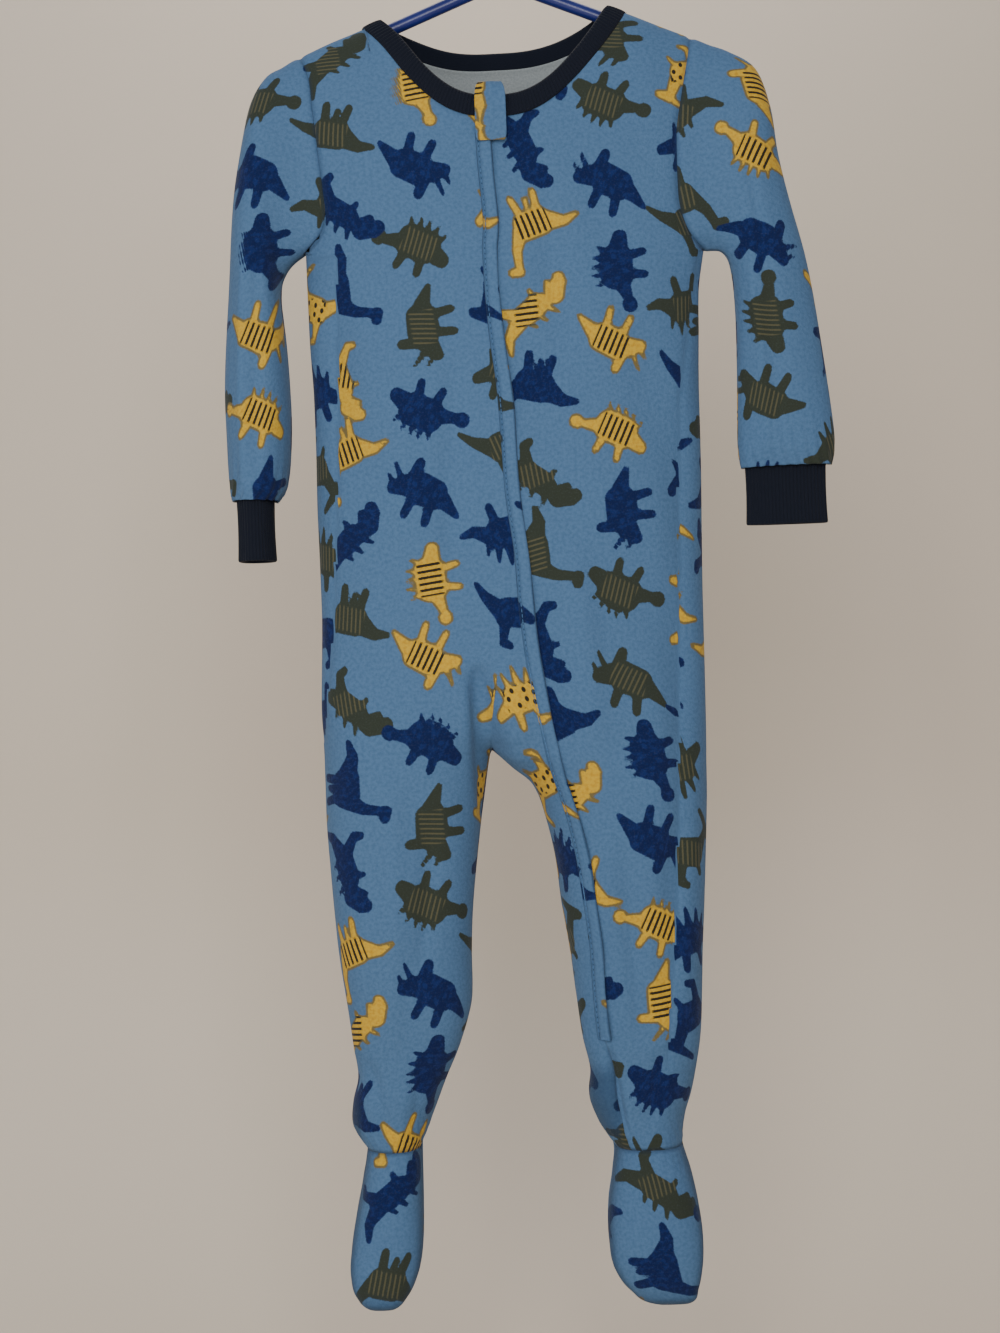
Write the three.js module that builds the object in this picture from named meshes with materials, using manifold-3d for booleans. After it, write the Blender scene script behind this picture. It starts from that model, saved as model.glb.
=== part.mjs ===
// A child's footed fleece onesie, hung on a tubular plastic hanger.
// Millimetres, +Z up. The origin is the inner top of the hanger's hook, where a rail
// carries it. The front of the garment faces -Y, and the wearer's right side is at -X.
//
// The garment is one skin, worked out from tables of sections, that is cut along its
// seams into pieces. Each piece is then thickened into a wall.
import * as THREE from 'three';
import { mergeVertices } from 'three/addons/utils/BufferGeometryUtils.js';
import Module from 'manifold-3d';

const wasm = await Module();
wasm.setup();

const fleece = 2;            // wall of the brushed cloth
const ribbing = 2.5;         // wall of the neck binding and the cuffs
const seamGap = 0.3;         // between two pieces at a seam
const roundness = 2.4;       // exponent of the sections: 2 is an ellipse, more is boxier

// The hanger's arms slope down from a peak over the centre.
const hanger = {
  tube: 4, hookTube: 3.5, hookRadius: 19, peak: -62, slope: 0.404,
  armReach: 134, barReach: 128, barHeight: -139,
};
const clothOverArm = 7.8;    // the skin's height over the centre line of an arm, at the peak

// The upper torso. q runs from 0 at the underarm to 1 at the shoulder seam.
const shoulderRound = 2.6;   // exponent of the shoulder's rounding from front to back
const shoulderRows = [0, 0.07, 0.17, 0.3, 0.46, 0.62, 0.76, 0.88, 0.955, 0.99, 1];
const armhole = [
  { q: 0, left: -131, right: 124 },
  { q: 0.07, left: -121.5, right: 115.5 },
  { q: 0.17, left: -116.8, right: 109.5 },
  { q: 0.3, left: -117.6, right: 107.6 },
  { q: 0.5, left: -120, right: 107.8 },
  { q: 0.7, left: -122.4, right: 112 },
  { q: 0.88, left: -125, right: 116.8 },
  { q: 1, left: -130, right: 119.7 },
];
const neck = {
  reach: 0.665, power: 2.5, narrowing: 0.139,
  frontOuter: 0.495, frontInner: 0.569, backOuter: 0.724, backInner: 0.785,
};

// Sections of the torso from the underarm to the crotch. join is 0 where the torso is one
// tube and 1 where it has become two legs. split is the line that runs down to the crotch.
const torsoRows = [
  { z: -236.7, tilt: 3.3, left: -131, right: 124, depth: 30, join: 0, split: -29, zip: -13 },
  { z: -262, tilt: 0, left: -130.6, right: 120.4, depth: 32, join: 0, split: -28, zip: -12.4 },
  { z: -292, tilt: 0, left: -130.2, right: 119.2, depth: 34, join: 0, split: -26, zip: -10.5 },
  { z: -325, tilt: 0, left: -128.9, right: 117.8, depth: 36, join: 0, split: -23, zip: -7.1 },
  { z: -360, tilt: 0, left: -128.8, right: 117.2, depth: 37, join: 0, split: -20, zip: -5.4 },
  { z: -395, tilt: 0, left: -129.1, right: 116.8, depth: 38, join: 0, split: -17, zip: -3.8 },
  { z: -430, tilt: 0, left: -128.6, right: 116.3, depth: 39, join: 0, split: -14, zip: 0.4 },
  { z: -462, tilt: 0, left: -128.6, right: 115.4, depth: 40, join: 0, split: -12, zip: 2 },
  { z: -486, tilt: 0, left: -129.3, right: 115, depth: 40, join: 0.02, split: -13, zip: 4 },
  { z: -508, tilt: 0, left: -130.2, right: 114.9, depth: 39.5, join: 0.16, split: -17, zip: 6.6 },
  { z: -527, tilt: 0, left: -130.6, right: 114.8, depth: 39, join: 0.42, split: -20.5, zip: 9.8 },
  { z: -542, tilt: 0, left: -130.1, right: 114.7, depth: 38.5, join: 0.7, split: -22.5, zip: 12.8 },
  { z: -551, tilt: 0, left: -129.8, right: 114.6, depth: 38, join: 0.9, split: -23, zip: 14.8 },
];
const legs = {
  right: [
    { z: -557, outer: -129.7, inner: -23, front: -38, back: 38 },
    { z: -563, outer: -129.7, inner: -24.6, front: -37.9, back: 37.9 },
    { z: -571, outer: -129.6, inner: -26.4, front: -37.6, back: 37.6 },
    { z: -583, outer: -129.6, inner: -28.6, front: -37, back: 37 },
    { z: -597, outer: -129.5, inner: -31, front: -36, back: 36 },
    { z: -622, outer: -128.6, inner: -34.4, front: -34.5, back: 34.5 },
    { z: -650, outer: -127.3, inner: -37.8, front: -33, back: 33 },
    { z: -680, outer: -125, inner: -39.8, front: -31, back: 31 },
    { z: -710, outer: -121.1, inner: -40.8, front: -28.5, back: 29 },
    { z: -738, outer: -118, inner: -48.8, front: -25, back: 27 },
    { z: -761, outer: -116, inner: -58.6, front: -22, back: 32 },
    { z: -775, outer: -119.6, inner: -64, front: -21, back: 41 },
    { z: -791, outer: -120.6, inner: -70.5, front: -18.5, back: 46 },
    { z: -806, outer: -112.5, inner: -76.2, front: -18, back: 42 },
    { z: -822, outer: -114.5, inner: -76.3, front: -22, back: 31 },
    { z: -842, outer: -118.8, inner: -76.4, front: -26, back: 20 },
    { z: -866, outer: -122.8, inner: -77.2, front: -30, back: 10 },
    { z: -883, outer: -123.8, inner: -80.6, front: -31, back: 4 },
    { z: -896, outer: -120.6, inner: -87.4, front: -29, back: -2 },
    { z: -903.5, outer: -114, inner: -94.5, front: -24, back: -8 },
    { z: -906, outer: -109.5, inner: -99, front: -16, back: -16 },
  ],
  left: [
    { z: -557, outer: 114.5, inner: -23, front: -38, back: 38, zip: 16 },
    { z: -563, outer: 114.3, inner: -11, front: -37.9, back: 37.9, zip: 17.4 },
    { z: -571, outer: 114.2, inner: -1, front: -37.6, back: 37.6, zip: 19.6 },
    { z: -583, outer: 114, inner: 5.6, front: -37, back: 37, zip: 23.4 },
    { z: -597, outer: 113.4, inner: 9.6, front: -36, back: 36, zip: 27.4 },
    { z: -622, outer: 111.8, inner: 15, front: -34.5, back: 34.5, zip: 32.4 },
    { z: -650, outer: 109.9, inner: 18.2, front: -33, back: 33, zip: 36 },
    { z: -680, outer: 107.8, inner: 22.4, front: -31, back: 31, zip: 39.2 },
    { z: -710, outer: 106.4, inner: 25.2, front: -28.5, back: 29, zip: 40.4 },
    { z: -738, outer: 104.5, inner: 28.6, front: -25, back: 27, zip: 42.6 },
    { z: -761, outer: 100.8, inner: 33.2, front: -22, back: 32, zip: 46.5 },
    { z: -777, outer: 97.6, inner: 32.2, front: -21, back: 41, zip: 48 },
    { z: -793, outer: 93.2, inner: 37.6, front: -18.5, back: 46, zip: 51 },
    { z: -810, outer: 91.6, inner: 46.6, front: -18, back: 42, zip: 56 },
    { z: -825, outer: 95.4, inner: 45, front: -22, back: 31, zip: 57 },
    { z: -844, outer: 99, inner: 41.4, front: -26, back: 20, zip: 56 },
    { z: -867, outer: 100.9, inner: 40.6, front: -30, back: 10, zip: 57 },
    { z: -885, outer: 99.6, inner: 43.6, front: -31, back: 4, zip: 60 },
    { z: -898, outer: 96.6, inner: 53, front: -29, back: -2, zip: 66 },
    { z: -906, outer: 93.5, inner: 64, front: -24, back: -8, zip: 73 },
    { z: -909, outer: 89, inner: 74, front: -16, back: -16, zip: 79 },
  ],
};
const ankleRow = 13;         // the vamp's seam lies along this row of a leg, in front
const heelRow = 12;          // and the sole's heel along this one, behind
const zipEndRow = 9;         // the zip ends at this row of the wearer's left leg
const crotchLift = { x: -23, z: -557, width: 9, height: 12, lift: 3 };

// Sections of the sleeves below the armhole: from the underarm side to the outer side.
const sleeves = {
  right: [
    { inX: -136, inZ: -236.5, outX: -141, outZ: -112, depth: 19 },
    { inX: -141.5, inZ: -242, outX: -152.6, outZ: -119, depth: 22 },
    { inX: -146, inZ: -250.5, outX: -163.6, outZ: -139, depth: 25 },
    { inX: -147.3, inZ: -262, outX: -171.2, outZ: -175, depth: 27 },
    { inX: -146.4, inZ: -275, outX: -176.6, outZ: -214, depth: 28 },
    { inX: -145, inZ: -291, outX: -180.8, outZ: -254, depth: 28 },
    { inX: -143.8, inZ: -315, outX: -183.4, outZ: -294, depth: 28 },
    { inX: -143.4, inZ: -340, outX: -185, outZ: -331, depth: 28 },
    { inX: -145, inZ: -366, outX: -185.1, outZ: -363, depth: 27 },
    { inX: -148, inZ: -382, outX: -184.2, outZ: -381, depth: 25.6 },
    { inX: -153.6, inZ: -390, outX: -182.8, outZ: -389, depth: 24.8 },
  ],
  left: [
    { inX: 129.5, inZ: -239.5, outX: 131, outZ: -107, depth: 18 },
    { inX: 135, inZ: -240.5, outX: 144, outZ: -112, depth: 20 },
    { inX: 139, inZ: -246, outX: 160, outZ: -124, depth: 21 },
    { inX: 141.2, inZ: -257, outX: 168.3, outZ: -148, depth: 21 },
    { inX: 142.2, inZ: -270, outX: 172.8, outZ: -178, depth: 20.5 },
    { inX: 142.7, inZ: -285, outX: 180.2, outZ: -210, depth: 19.5 },
    { inX: 142.6, inZ: -304, outX: 188.6, outZ: -246, depth: 18.5 },
    { inX: 142.1, inZ: -325, outX: 195.8, outZ: -286, depth: 17 },
    { inX: 141.2, inZ: -347, outX: 201, outZ: -328, depth: 16 },
    { inX: 140.8, inZ: -367, outX: 203.4, outZ: -362, depth: 14.4 },
    { inX: 142.2, inZ: -379, outX: 200.2, outZ: -378, depth: 11.2 },
  ],
};
const cuffs = {
  right: { centre: -168.2, halfWidth: 12.2, halfDepth: 22, top: -383, bottom: -428 },
  left: { centre: 171.2, halfWidth: 26.2, halfDepth: 7.4, top: -372, bottom: -415.5 },
};

// Soft creases of the hanging cloth, each from (x, z) to (x2, z2). A negative height is a
// groove and a positive one a ridge; side is -1 for the front and 1 for the back.
const creases = [
  { side: -1, x: -110, z: -246, x2: -114, z2: -380, width: 10, height: -5 },
  { side: -1, x: 104, z: -330, x2: 92, z2: -640, width: 9, height: -4.5 },
  { side: -1, x: 92, z: -600, x2: 82, z2: -730, width: 8, height: -3.5 },
  { side: -1, x: -29, z: -498, x2: -23, z2: -562, width: 6, height: -5 },
  { side: -1, x: -8, z: -500, x2: -4, z2: -566, width: 11, height: 3 },
  { side: -1, x: -66, z: -250, x2: -74, z2: -470, width: 22, height: 2.4 },
  { side: -1, x: 52, z: -215, x2: 60, z2: -430, width: 24, height: 2.2 },
  { side: 1, x: -88, z: -250, x2: -96, z2: -520, width: 12, height: -5 },
  { side: 1, x: 84, z: -260, x2: 76, z2: -560, width: 12, height: -5 },
  { side: 1, x: -30, z: -190, x2: -22, z2: -420, width: 18, height: 3 },
  { side: 1, x: 34, z: -300, x2: 26, z2: -500, width: 16, height: -3 },
];

// Numbers from 0 to n.
const count = (n) => Array.from({ length: n + 1 }, (_, i) => i);
const mix = (a, b, t) => a + (b - a) * t;

// The value of a column of a table at a key, between its rows.
function look(table, key, at, column) {
  let i = 1;
  while (i < table.length - 1 && table[i][key] < at) {
    i += 1;
  }
  const [a, b] = [table[i - 1], table[i]];
  return mix(a[column], b[column], (at - a[key]) / (b[key] - a[key]));
}

// How deep a section is at s, from -1 to 1 across it: 1 in the middle and 0 at its edges.
const bow = (s, power = roundness) => Math.max(0, 1 - Math.abs(s) ** power) ** (1 / power);

// How far the creases push the skin outwards at a place.
function creaseAt(x, z, side) {
  let push = 0;
  for (const c of creases.filter((crease) => crease.side === side)) {
    const t = (z - c.z) / (c.z2 - c.z);
    const across = (x - mix(c.x, c.x2, t)) / c.width;
    const along = Math.max(0, 1 - (2 * t - 1) ** 4);
    push += t > 0 && t < 1 ? c.height * along * Math.exp(-across * across) : 0;
  }
  return push;
}

// Places across a row: one half from the side seam to the split line, the other from the
// split line past the zip to its side seam. A half's s is -1 at its outer seam.
const halfTorso = [-1, -0.97, -0.915, -0.83, -0.72, -0.58, -0.475, -0.3, -0.15, 0];
const halfLeg = [-1, -0.94, -0.766, -0.5, -0.174, 0.174, 0.5, 0.766, 0.94, 1];
const middle = [0, 0.2, 0.5, 1];
const restTorso = [0, 0.2, 0.41, 0.609, 0.69, 0.79, 0.87, 0.935, 0.977, 1];
const restLeg = [0, 0.17, 0.34, 0.51, 0.66, 0.79, 0.89, 0.955, 0.99, 1];

// The wearer's right half: s is -1 at the outer seam and end at the split line.
const rightHalf = (end, join) =>
  halfTorso.map((s, i) => mix(-1 + (s + 1) * (1 + end), halfLeg[i], join));
// The wearer's left half: s is start at the split line, then zip, then 1 at the seam.
const leftHalf = (start, zip, join) => [
  ...middle.map((t) => mix(start, zip, t)),
  ...restTorso.slice(1).map((t, i) => mix(zip, 1, mix(t, restLeg[i + 1], join))),
];

// A point of the upper torso, at s across it and q up it.
function upperPoint(s, q, side) {
  const left = look(armhole, 'q', q, 'left');
  const right = look(armhole, 'q', q, 'right');
  const x = (left + right) / 2 + s * (right - left) / 2;
  const out = Math.abs(x);
  const rise = out > 60 ? out : out * out / 120 + 30;
  const top = hanger.peak + clothOverArm - hanger.slope * rise;
  const { z: low, tilt, depth } = torsoRows[0];
  const z = mix(low - tilt * s, top, q);
  const across = bow(s * (1 - 0.2 * q ** 0.35));
  const y = depth * across * bow(q, shoulderRound);
  const edge = (1 - s * s) * (1 - q ** 6);
  return [x, side * (y + creaseAt(x, z, side) * edge), z];
}

// How far up the panel goes at s: to the neck's edge, or to the shoulder seam.
const neckEdge = (s, low) => mix(low, 1, Math.min(1, (Math.abs(s) / neck.reach) ** neck.power));

// Columns of the upper torso, from its underarm row, with one at each end of the neck.
function columnsOf(row) {
  const centre = (row.left + row.right) / 2;
  const half = (row.right - row.left) / 2;
  const split = (row.split - centre) / half;
  const zip = (row.zip - centre) / half;
  return [...rightHalf(split, 0), ...leftHalf(split, zip, 0).slice(1)]
    .map((s) => (Math.abs(Math.abs(s) - neck.reach) < 0.02 ? Math.sign(s) * neck.reach : s));
}
const columns = columnsOf(torsoRows[0]);
const splitColumn = halfTorso.length - 1;
const zipColumn = splitColumn + middle.length - 1;

// Where a column meets the neck's edge: the columns lean to the shoulders there, because
// the edge is steepest where it climbs over them.
function neckPlace(s) {
  const u = Math.abs(s) / neck.reach;
  return u < 1 ? s * (1 + 1.2 * u * (1 - u)) : s;
}

// Rows of a side's skin from the shoulder down to the underarm.
function upperRows(side) {
  const low = side < 0 ? neck.frontOuter : neck.backOuter;
  return [...shoulderRows].reverse().map((q, i) => columns.map((s) => {
    const inNeck = Math.abs(s) < neck.reach;
    const even = 1 - i / (shoulderRows.length - 1);
    const share = inNeck ? mix(even, q, s * s) : q;
    return upperPoint(mix(s, neckPlace(s), share), share * neckEdge(neckPlace(s), low), side);
  }));
}

// One row of points across one section: x from its s, y bowed from its seam line.
function section(places, from, to, z, front, back, side, tilt = 0) {
  const seam = Math.abs(front + back) < 8 ? 0 : (front + back) / 2;
  const depth = side < 0 ? seam - front : back - seam;
  return places.map((s) => {
    const x = mix(from, to, (s + 1) / 2);
    const c = crotchLift;
    const near = ((x - c.x) / c.width) ** 2 + ((z - c.z) / c.height) ** 2;
    const bowed = bow(s);
    const push = creaseAt(x, z, side) * Math.min(1, bowed * bowed * 1.4);
    return [x, seam + side * (depth * bowed + push * (depth > 12 ? 1 : 0)),
      z - tilt * s + c.lift * Math.exp(-near)];
  });
}

// A torso row: as join grows, each half becomes a tube that closes at the split line.
function torsoRow(row, side) {
  const { z, left, right, depth, join, tilt } = row;
  const centre = (left + right) / 2;
  const half = (right - left) / 2;
  const offset = mix((row.split - centre) / half, 0, Math.min(1, join * 8));
  const [endRight, startLeft] = [mix(offset, 1, join), mix(offset, -1, join)];
  const split = join > 0 ? row.split : centre + offset * half;
  const farRight = left + (split - left) * 2 / (1 + endRight);
  const farLeft = right - (right - split) * 2 / (1 - startLeft);
  const zip = 2 * (row.zip - farLeft) / (right - farLeft) - 1;
  return [
    ...section(rightHalf(offset, join), left, farRight, z, -depth, depth, side, tilt),
    ...section(leftHalf(startLeft, zip, join), farLeft, right, z, -depth, depth, side, tilt)
      .slice(1),
  ];
}

// A leg's row, on one side.
function legRow(which, row, side) {
  const { z, outer, inner, front, back } = row;
  if (which === 'right') {
    return section(halfLeg, outer, inner, z, front, back, side);
  }
  const zip = 2 * (row.zip - inner) / (outer - inner) - 1;
  return section(leftHalf(-1, zip, 1), inner, outer, z, front, back, side);
}

// The skin: patches of quads with a piece's name each, welded where they meet.
const skin = { points: [], index: new Map(), faces: new Map() };

function pointIndex(point) {
  const key = point.map((v) => Math.round(v * 1000)).join();
  if (!skin.index.has(key)) {
    skin.index.set(key, skin.points.length);
    skin.points.push(new THREE.Vector3(...point));
  }
  return skin.index.get(key);
}

function addTriangle(piece, a, b, c) {
  if (a !== b && b !== c && c !== a) {
    skin.faces.set(piece, [...(skin.faces.get(piece) ?? []), [a, b, c]]);
  }
}

// Adds a grid of rows that run down and columns that run to +X, facing -Y if side is -1.
function addGrid(rows, side, nameAt) {
  const ids = rows.map((row) => row.map(pointIndex));
  for (const r of count(rows.length - 2)) {
    for (const c of count(rows[0].length - 2)) {
      const [a, b, d, e] = [ids[r][c], ids[r][c + 1], ids[r + 1][c], ids[r + 1][c + 1]];
      const name = nameAt(r, c);
      if (side < 0) {
        addTriangle(name, a, d, b);
        addTriangle(name, b, d, e);
      } else {
        addTriangle(name, a, b, d);
        addTriangle(name, b, e, d);
      }
    }
  }
  return ids;
}

// Torso and legs, front and back.
for (const side of [-1, 1]) {
  const torso = [...upperRows(side), ...torsoRows.slice(1).map((row) => torsoRow(row, side))];
  const apex = [
    ...legRow('right', legs.right[0], side),
    ...legRow('left', legs.left[0], side).slice(1),
  ];
  const frontName = (c) => (c < zipColumn ? 'front_right' : 'front_left');
  addGrid([...torso, apex], side, (r, c) => (side < 0 ? frontName(c) : 'back'));
  for (const which of ['right', 'left']) {
    const rows = legs[which].map((row) => legRow(which, row, side));
    const start = which === 'right' ? 0 : splitColumn;
    const lowest = side < 0 ? ankleRow : heelRow;
    const shoe = side < 0 ? 'foot_upper_' : 'sole_';
    addGrid(rows, side, (r, c) => {
      const cloth = side < 0 ? frontName(c + start) : 'back';
      return r < lowest ? cloth : shoe + which;
    });
  }
}

// The neck binding: a band on the same surface, from the panels' edge to the opening.
for (const side of [-1, 1]) {
  const [outer, inner] = side < 0
    ? [neck.frontOuter, neck.frontInner] : [neck.backOuter, neck.backInner];
  const band = columns.filter((s) => Math.abs(s) < neck.reach + 0.02);
  const rowsOf = (places) => [1, 0.5, 0].map((w) => places.map((s) => {
    const place = neckPlace(s);
    const q = mix(neckEdge(place, outer), neckEdge(place, inner), w);
    return upperPoint(place * (1 - neck.narrowing * w), q, side);
  }));
  const parts = side > 0 ? [band] : [
    band.filter((s) => s <= columns[zipColumn]),
    band.filter((s) => s >= columns[zipColumn]).map((s, i) => (i === 0 ? s + 0.012 : s)),
  ];
  for (const places of parts) {
    addGrid(rowsOf(places), side, () => 'neck_binding');
  }
}

// Sleeves: tubes whose first row is the armhole. Each loop starts at the underarm, goes
// up the front to the shoulder and comes down the back.
function sleeveLoops(which) {
  const s = which === 'right' ? -1 : 1;
  const up = shoulderRows.map((q) => upperPoint(s, q, -1));
  const down = shoulderRows.map((q) => upperPoint(s, q, 1)).slice(1, -1).reverse();
  const hole = [...up, ...down];
  const turns = [...shoulderRows, ...shoulderRows.slice(1, -1).reverse()];
  const [low, high] = [hole[0], hole[shoulderRows.length - 1]];
  const loops = sleeves[which].map((row, r) => hole.map(([x, y, z], j) => {
    const q = turns[j];
    const front = j < shoulderRows.length ? -1 : 1;
    const sine = 2 * Math.sqrt(q * (1 - q));
    const settle = Math.min(1, (r + 1) / 3);
    const bend = (x - mix(low[0], high[0], q)) * (1 - settle);
    const sectionY = front * row.depth * sine ** 0.83;
    return [
      mix(row.inX, row.outX, q) + bend,
      mix(y, sectionY, settle),
      mix(row.inZ, row.outZ, q) + (z - mix(low[2], high[2], q)) * (1 - settle),
    ];
  }));
  return [hole, ...loops];
}

for (const which of ['right', 'left']) {
  const loops = sleeveLoops(which).map((loop) => [...loop, loop[0]]);
  addGrid(loops, which === 'right' ? 1 : -1, () => `sleeve_${which}`);
}

// Normals of points, each from its faces by their angles there.
function normalsOf(points, faces) {
  const sums = points.map(() => new THREE.Vector3());
  for (const face of faces) {
    const [a, b, c] = face.map((i) => points[i]);
    const plane = new THREE.Triangle(a, b, c).getNormal(new THREE.Vector3());
    face.forEach((i, k) => {
      const one = points[face[(k + 1) % 3]].clone().sub(points[i]);
      const two = points[face[(k + 2) % 3]].clone().sub(points[i]);
      sums[i].addScaledVector(plane, one.angleTo(two));
    });
  }
  return sums.map((sum) => sum.normalize());
}

// The whole skin's normals, so that two pieces have parallel edges where they meet.
const normals = normalsOf(skin.points, [...skin.faces.values()].flat());

function meshFrom(name, positions, indices, colour, roughness) {
  const geometry = new THREE.BufferGeometry();
  geometry.setAttribute('position', new THREE.Float32BufferAttribute(positions, 3));
  geometry.setIndex(indices);
  geometry.computeVertexNormals();
  const material = new THREE.MeshStandardMaterial({ color: colour, roughness, metalness: 0 });
  const mesh = new THREE.Mesh(geometry, material);
  mesh.name = name;
  return mesh;
}

// Thickens faces into a closed wall: from above the skin to below it, along its normals.
// The open edges are first drawn in by half of the seam gap.
function wall(name, points, directions, faces, above, below, colour, trim = seamGap / 2) {
  const edges = new Map();
  for (const [a, b, c] of faces) {
    const plane = new THREE.Vector3().crossVectors(
      points[b].clone().sub(points[a]), points[c].clone().sub(points[a])).normalize();
    for (const [p, q] of [[a, b], [b, c], [c, a]]) {
      if (!edges.delete(`${q},${p}`)) {
        const along = points[q].clone().sub(points[p]).normalize();
        edges.set(`${p},${q}`, { p, q, inward: new THREE.Vector3().crossVectors(plane, along) });
      }
    }
  }
  const pull = new Map();
  for (const { p, q, inward } of edges.values()) {
    for (const i of [p, q]) {
      pull.set(i, [...(pull.get(i) ?? []), inward]);
    }
  }
  const used = [...new Set(faces.flat())];
  const place = new Map(used.map((i, k) => [i, k]));
  const layer = (height) => used.flatMap((i) => {
    const moved = points[i].clone().addScaledVector(directions[i], height);
    const [first, second] = pull.get(i) ?? [];
    if (first) {
      const turn = first.clone().add(second ?? first);
      moved.addScaledVector(turn, trim * 2 / Math.max(0.6, turn.lengthSq()));
    }
    return moved.toArray();
  });
  const n = used.length;
  const indices = faces.flatMap(([a, b, c]) => {
    const [u, v, w] = [place.get(a), place.get(b), place.get(c)];
    return [u, v, w, u + n, w + n, v + n];
  });
  for (const { p, q } of edges.values()) {
    const [u, v] = [place.get(p), place.get(q)];
    indices.push(u, u + n, v, v, u + n, v + n);
  }
  return meshFrom(name, [...layer(above), ...layer(-below)], indices, colour, 0.95);
}

const colours = {
  fleece: 0x6a93b8, navy: 0x14203a, tape: 0x5f86ab, zip: 0xb9bec6, plastic: 0x1c2f96,
};
const garment = new THREE.Group();

for (const [name, faces] of skin.faces) {
  const rib = name === 'neck_binding';
  garment.add(wall(name, skin.points, normals, faces, rib ? 0.4 : 0,
    rib ? ribbing - 0.4 : fleece, rib ? colours.navy : colours.fleece,
    rib ? 1.7 * seamGap : seamGap / 2));
}

// The zip's line on the skin, from the neck to its end on the wearer's left shin, with
// the panels' next points on both sides of it.
const zipLine = [
  ...upperRows(-1),
  ...torsoRows.slice(1).map((row) => torsoRow(row, -1)),
].map((row) => [row[zipColumn - 1], row[zipColumn], row[zipColumn + 1]]);
for (const row of legs.left.slice(0, zipEndRow + 1)) {
  const points = legRow('left', row, -1);
  zipLine.push(points.slice(middle.length - 2, middle.length + 1));
}

// A strip along the zip's line, reach wide on each side, between two heights on the skin.
function zipStrip(name, fromRow, reach, low, high, colour) {
  const points = [];
  const directions = [];
  for (const triple of zipLine.slice(fromRow)) {
    const [a, b, c] = triple.map((p) => new THREE.Vector3(...p));
    const [na, nb, nc] = triple.map((p) => normals[pointIndex(p)]);
    const toA = Math.min(1, reach / a.distanceTo(b));
    const toC = Math.min(1, reach / c.distanceTo(b));
    points.push(b.clone().lerp(a, toA), b.clone(), b.clone().lerp(c, toC));
    directions.push(nb.clone().lerp(na, toA).normalize(), nb.clone(),
      nb.clone().lerp(nc, toC).normalize());
  }
  const faces = count(points.length / 3 - 2).flatMap((r) => [0, 1].flatMap((c) => {
    const i = 3 * r + c;
    return [[i, i + 3, i + 1], [i + 1, i + 3, i + 4]];
  }));
  return wall(name, points, directions, faces, high, -low, colour, 0);
}
garment.add(zipStrip('zip_flap', 1, 4.5, 0.5, 2.1, colours.fleece));
garment.add(zipStrip('zip_tape', 0, 7, -3.8, -2.8, colours.tape));
garment.add(zipStrip('zip_chain', 0, 2.2, -5.5, -4.1, colours.zip));

// The cuffs: ribbed tubes whose tops stand inside the sleeves' gathered ends.
for (const which of ['right', 'left']) {
  const { centre, halfWidth, halfDepth, top, bottom } = cuffs[which];
  const around = 24;
  const points = [];
  const directions = [];
  for (const z of [top, (top + bottom) / 2, bottom]) {
    for (const i of count(around - 1)) {
      const angle = i / around * 2 * Math.PI;
      const [c, s] = [Math.cos(angle), Math.sin(angle)];
      const [x, y] = [Math.sign(c) * Math.abs(c) ** 0.85, Math.sign(s) * Math.abs(s) ** 0.85];
      points.push(new THREE.Vector3(centre + x * halfWidth, y * halfDepth, z));
      directions.push(new THREE.Vector3(x / halfWidth, y / halfDepth, 0).normalize());
    }
  }
  const faces = count(1).flatMap((r) => count(around - 1).flatMap((i) => {
    const [a, b] = [r * around + i, r * around + (i + 1) % around];
    return [[a, a + around, b], [b, a + around, b + around]];
  }));
  garment.add(wall(`cuff_${which}`, points, directions, faces, 0, ribbing, colours.navy, 0));
}

// The chin guard: a tab of fleece folded over the zip's top, from outside to inside.
const guard = { width: 19.6, centre: -9.6, top: -133, bottom: -169.5, inside: -149.5 };
const guardPath = [
  { z: guard.bottom, out: 2.6 },
  { z: -163, out: 3.6 },
  { z: -152, out: 3.6 },
  { z: -142, out: 3.2 },
  { z: -135.5, out: 1.6 },
  { z: guard.top, out: -1.4 },
  { z: -135.5, out: -4.4 },
  { z: -142.5, out: -5.2 },
  { z: guard.inside, out: -5.2 },
];
// The front's y at the guard, which leans back towards the neck.
const frontY = (z) => {
  const q = (z - torsoRows[0].z) / (hanger.peak + clothOverArm - hanger.slope * 30.4
    - torsoRows[0].z);
  return upperPoint(-0.03, q, -1)[1];
};
{
  const points = [];
  for (const { z, out } of guardPath) {
    for (const side of [-1, 0, 1]) {
      const x = guard.centre + side * guard.width / 2;
      points.push(new THREE.Vector3(x, frontY(z) - out, z));
    }
  }
  const faces = count(guardPath.length - 2).flatMap((r) => [0, 1].flatMap((c) => {
    const i = 3 * r + c;
    return [[i, i + 1, i + 3], [i + 1, i + 4, i + 3]];
  }));
  garment.add(wall('chin_guard', points, normalsOf(points, faces), faces, 1.8, 0,
    colours.fleece, 0));
}

// Manifold solids from three.js geometry, and back.
function solidOf(geometry) {
  const plain = geometry.clone();
  plain.deleteAttribute('normal');
  plain.deleteAttribute('uv');
  const merged = mergeVertices(plain, 1e-4);
  return new wasm.Manifold(new wasm.Mesh({
    numProp: 3,
    vertProperties: Float32Array.from(merged.attributes.position.array),
    triVerts: Uint32Array.from(merged.index.array),
  }));
}

// A round bar of a radius along a curve.
function bar(curve, radius, steps) {
  const circle = new THREE.Shape().absarc(0, 0, radius, 0, 2 * Math.PI);
  return solidOf(new THREE.ExtrudeGeometry(circle, {
    extrudePath: curve, steps, curveSegments: 6, bevelEnabled: false,
  }));
}

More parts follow.
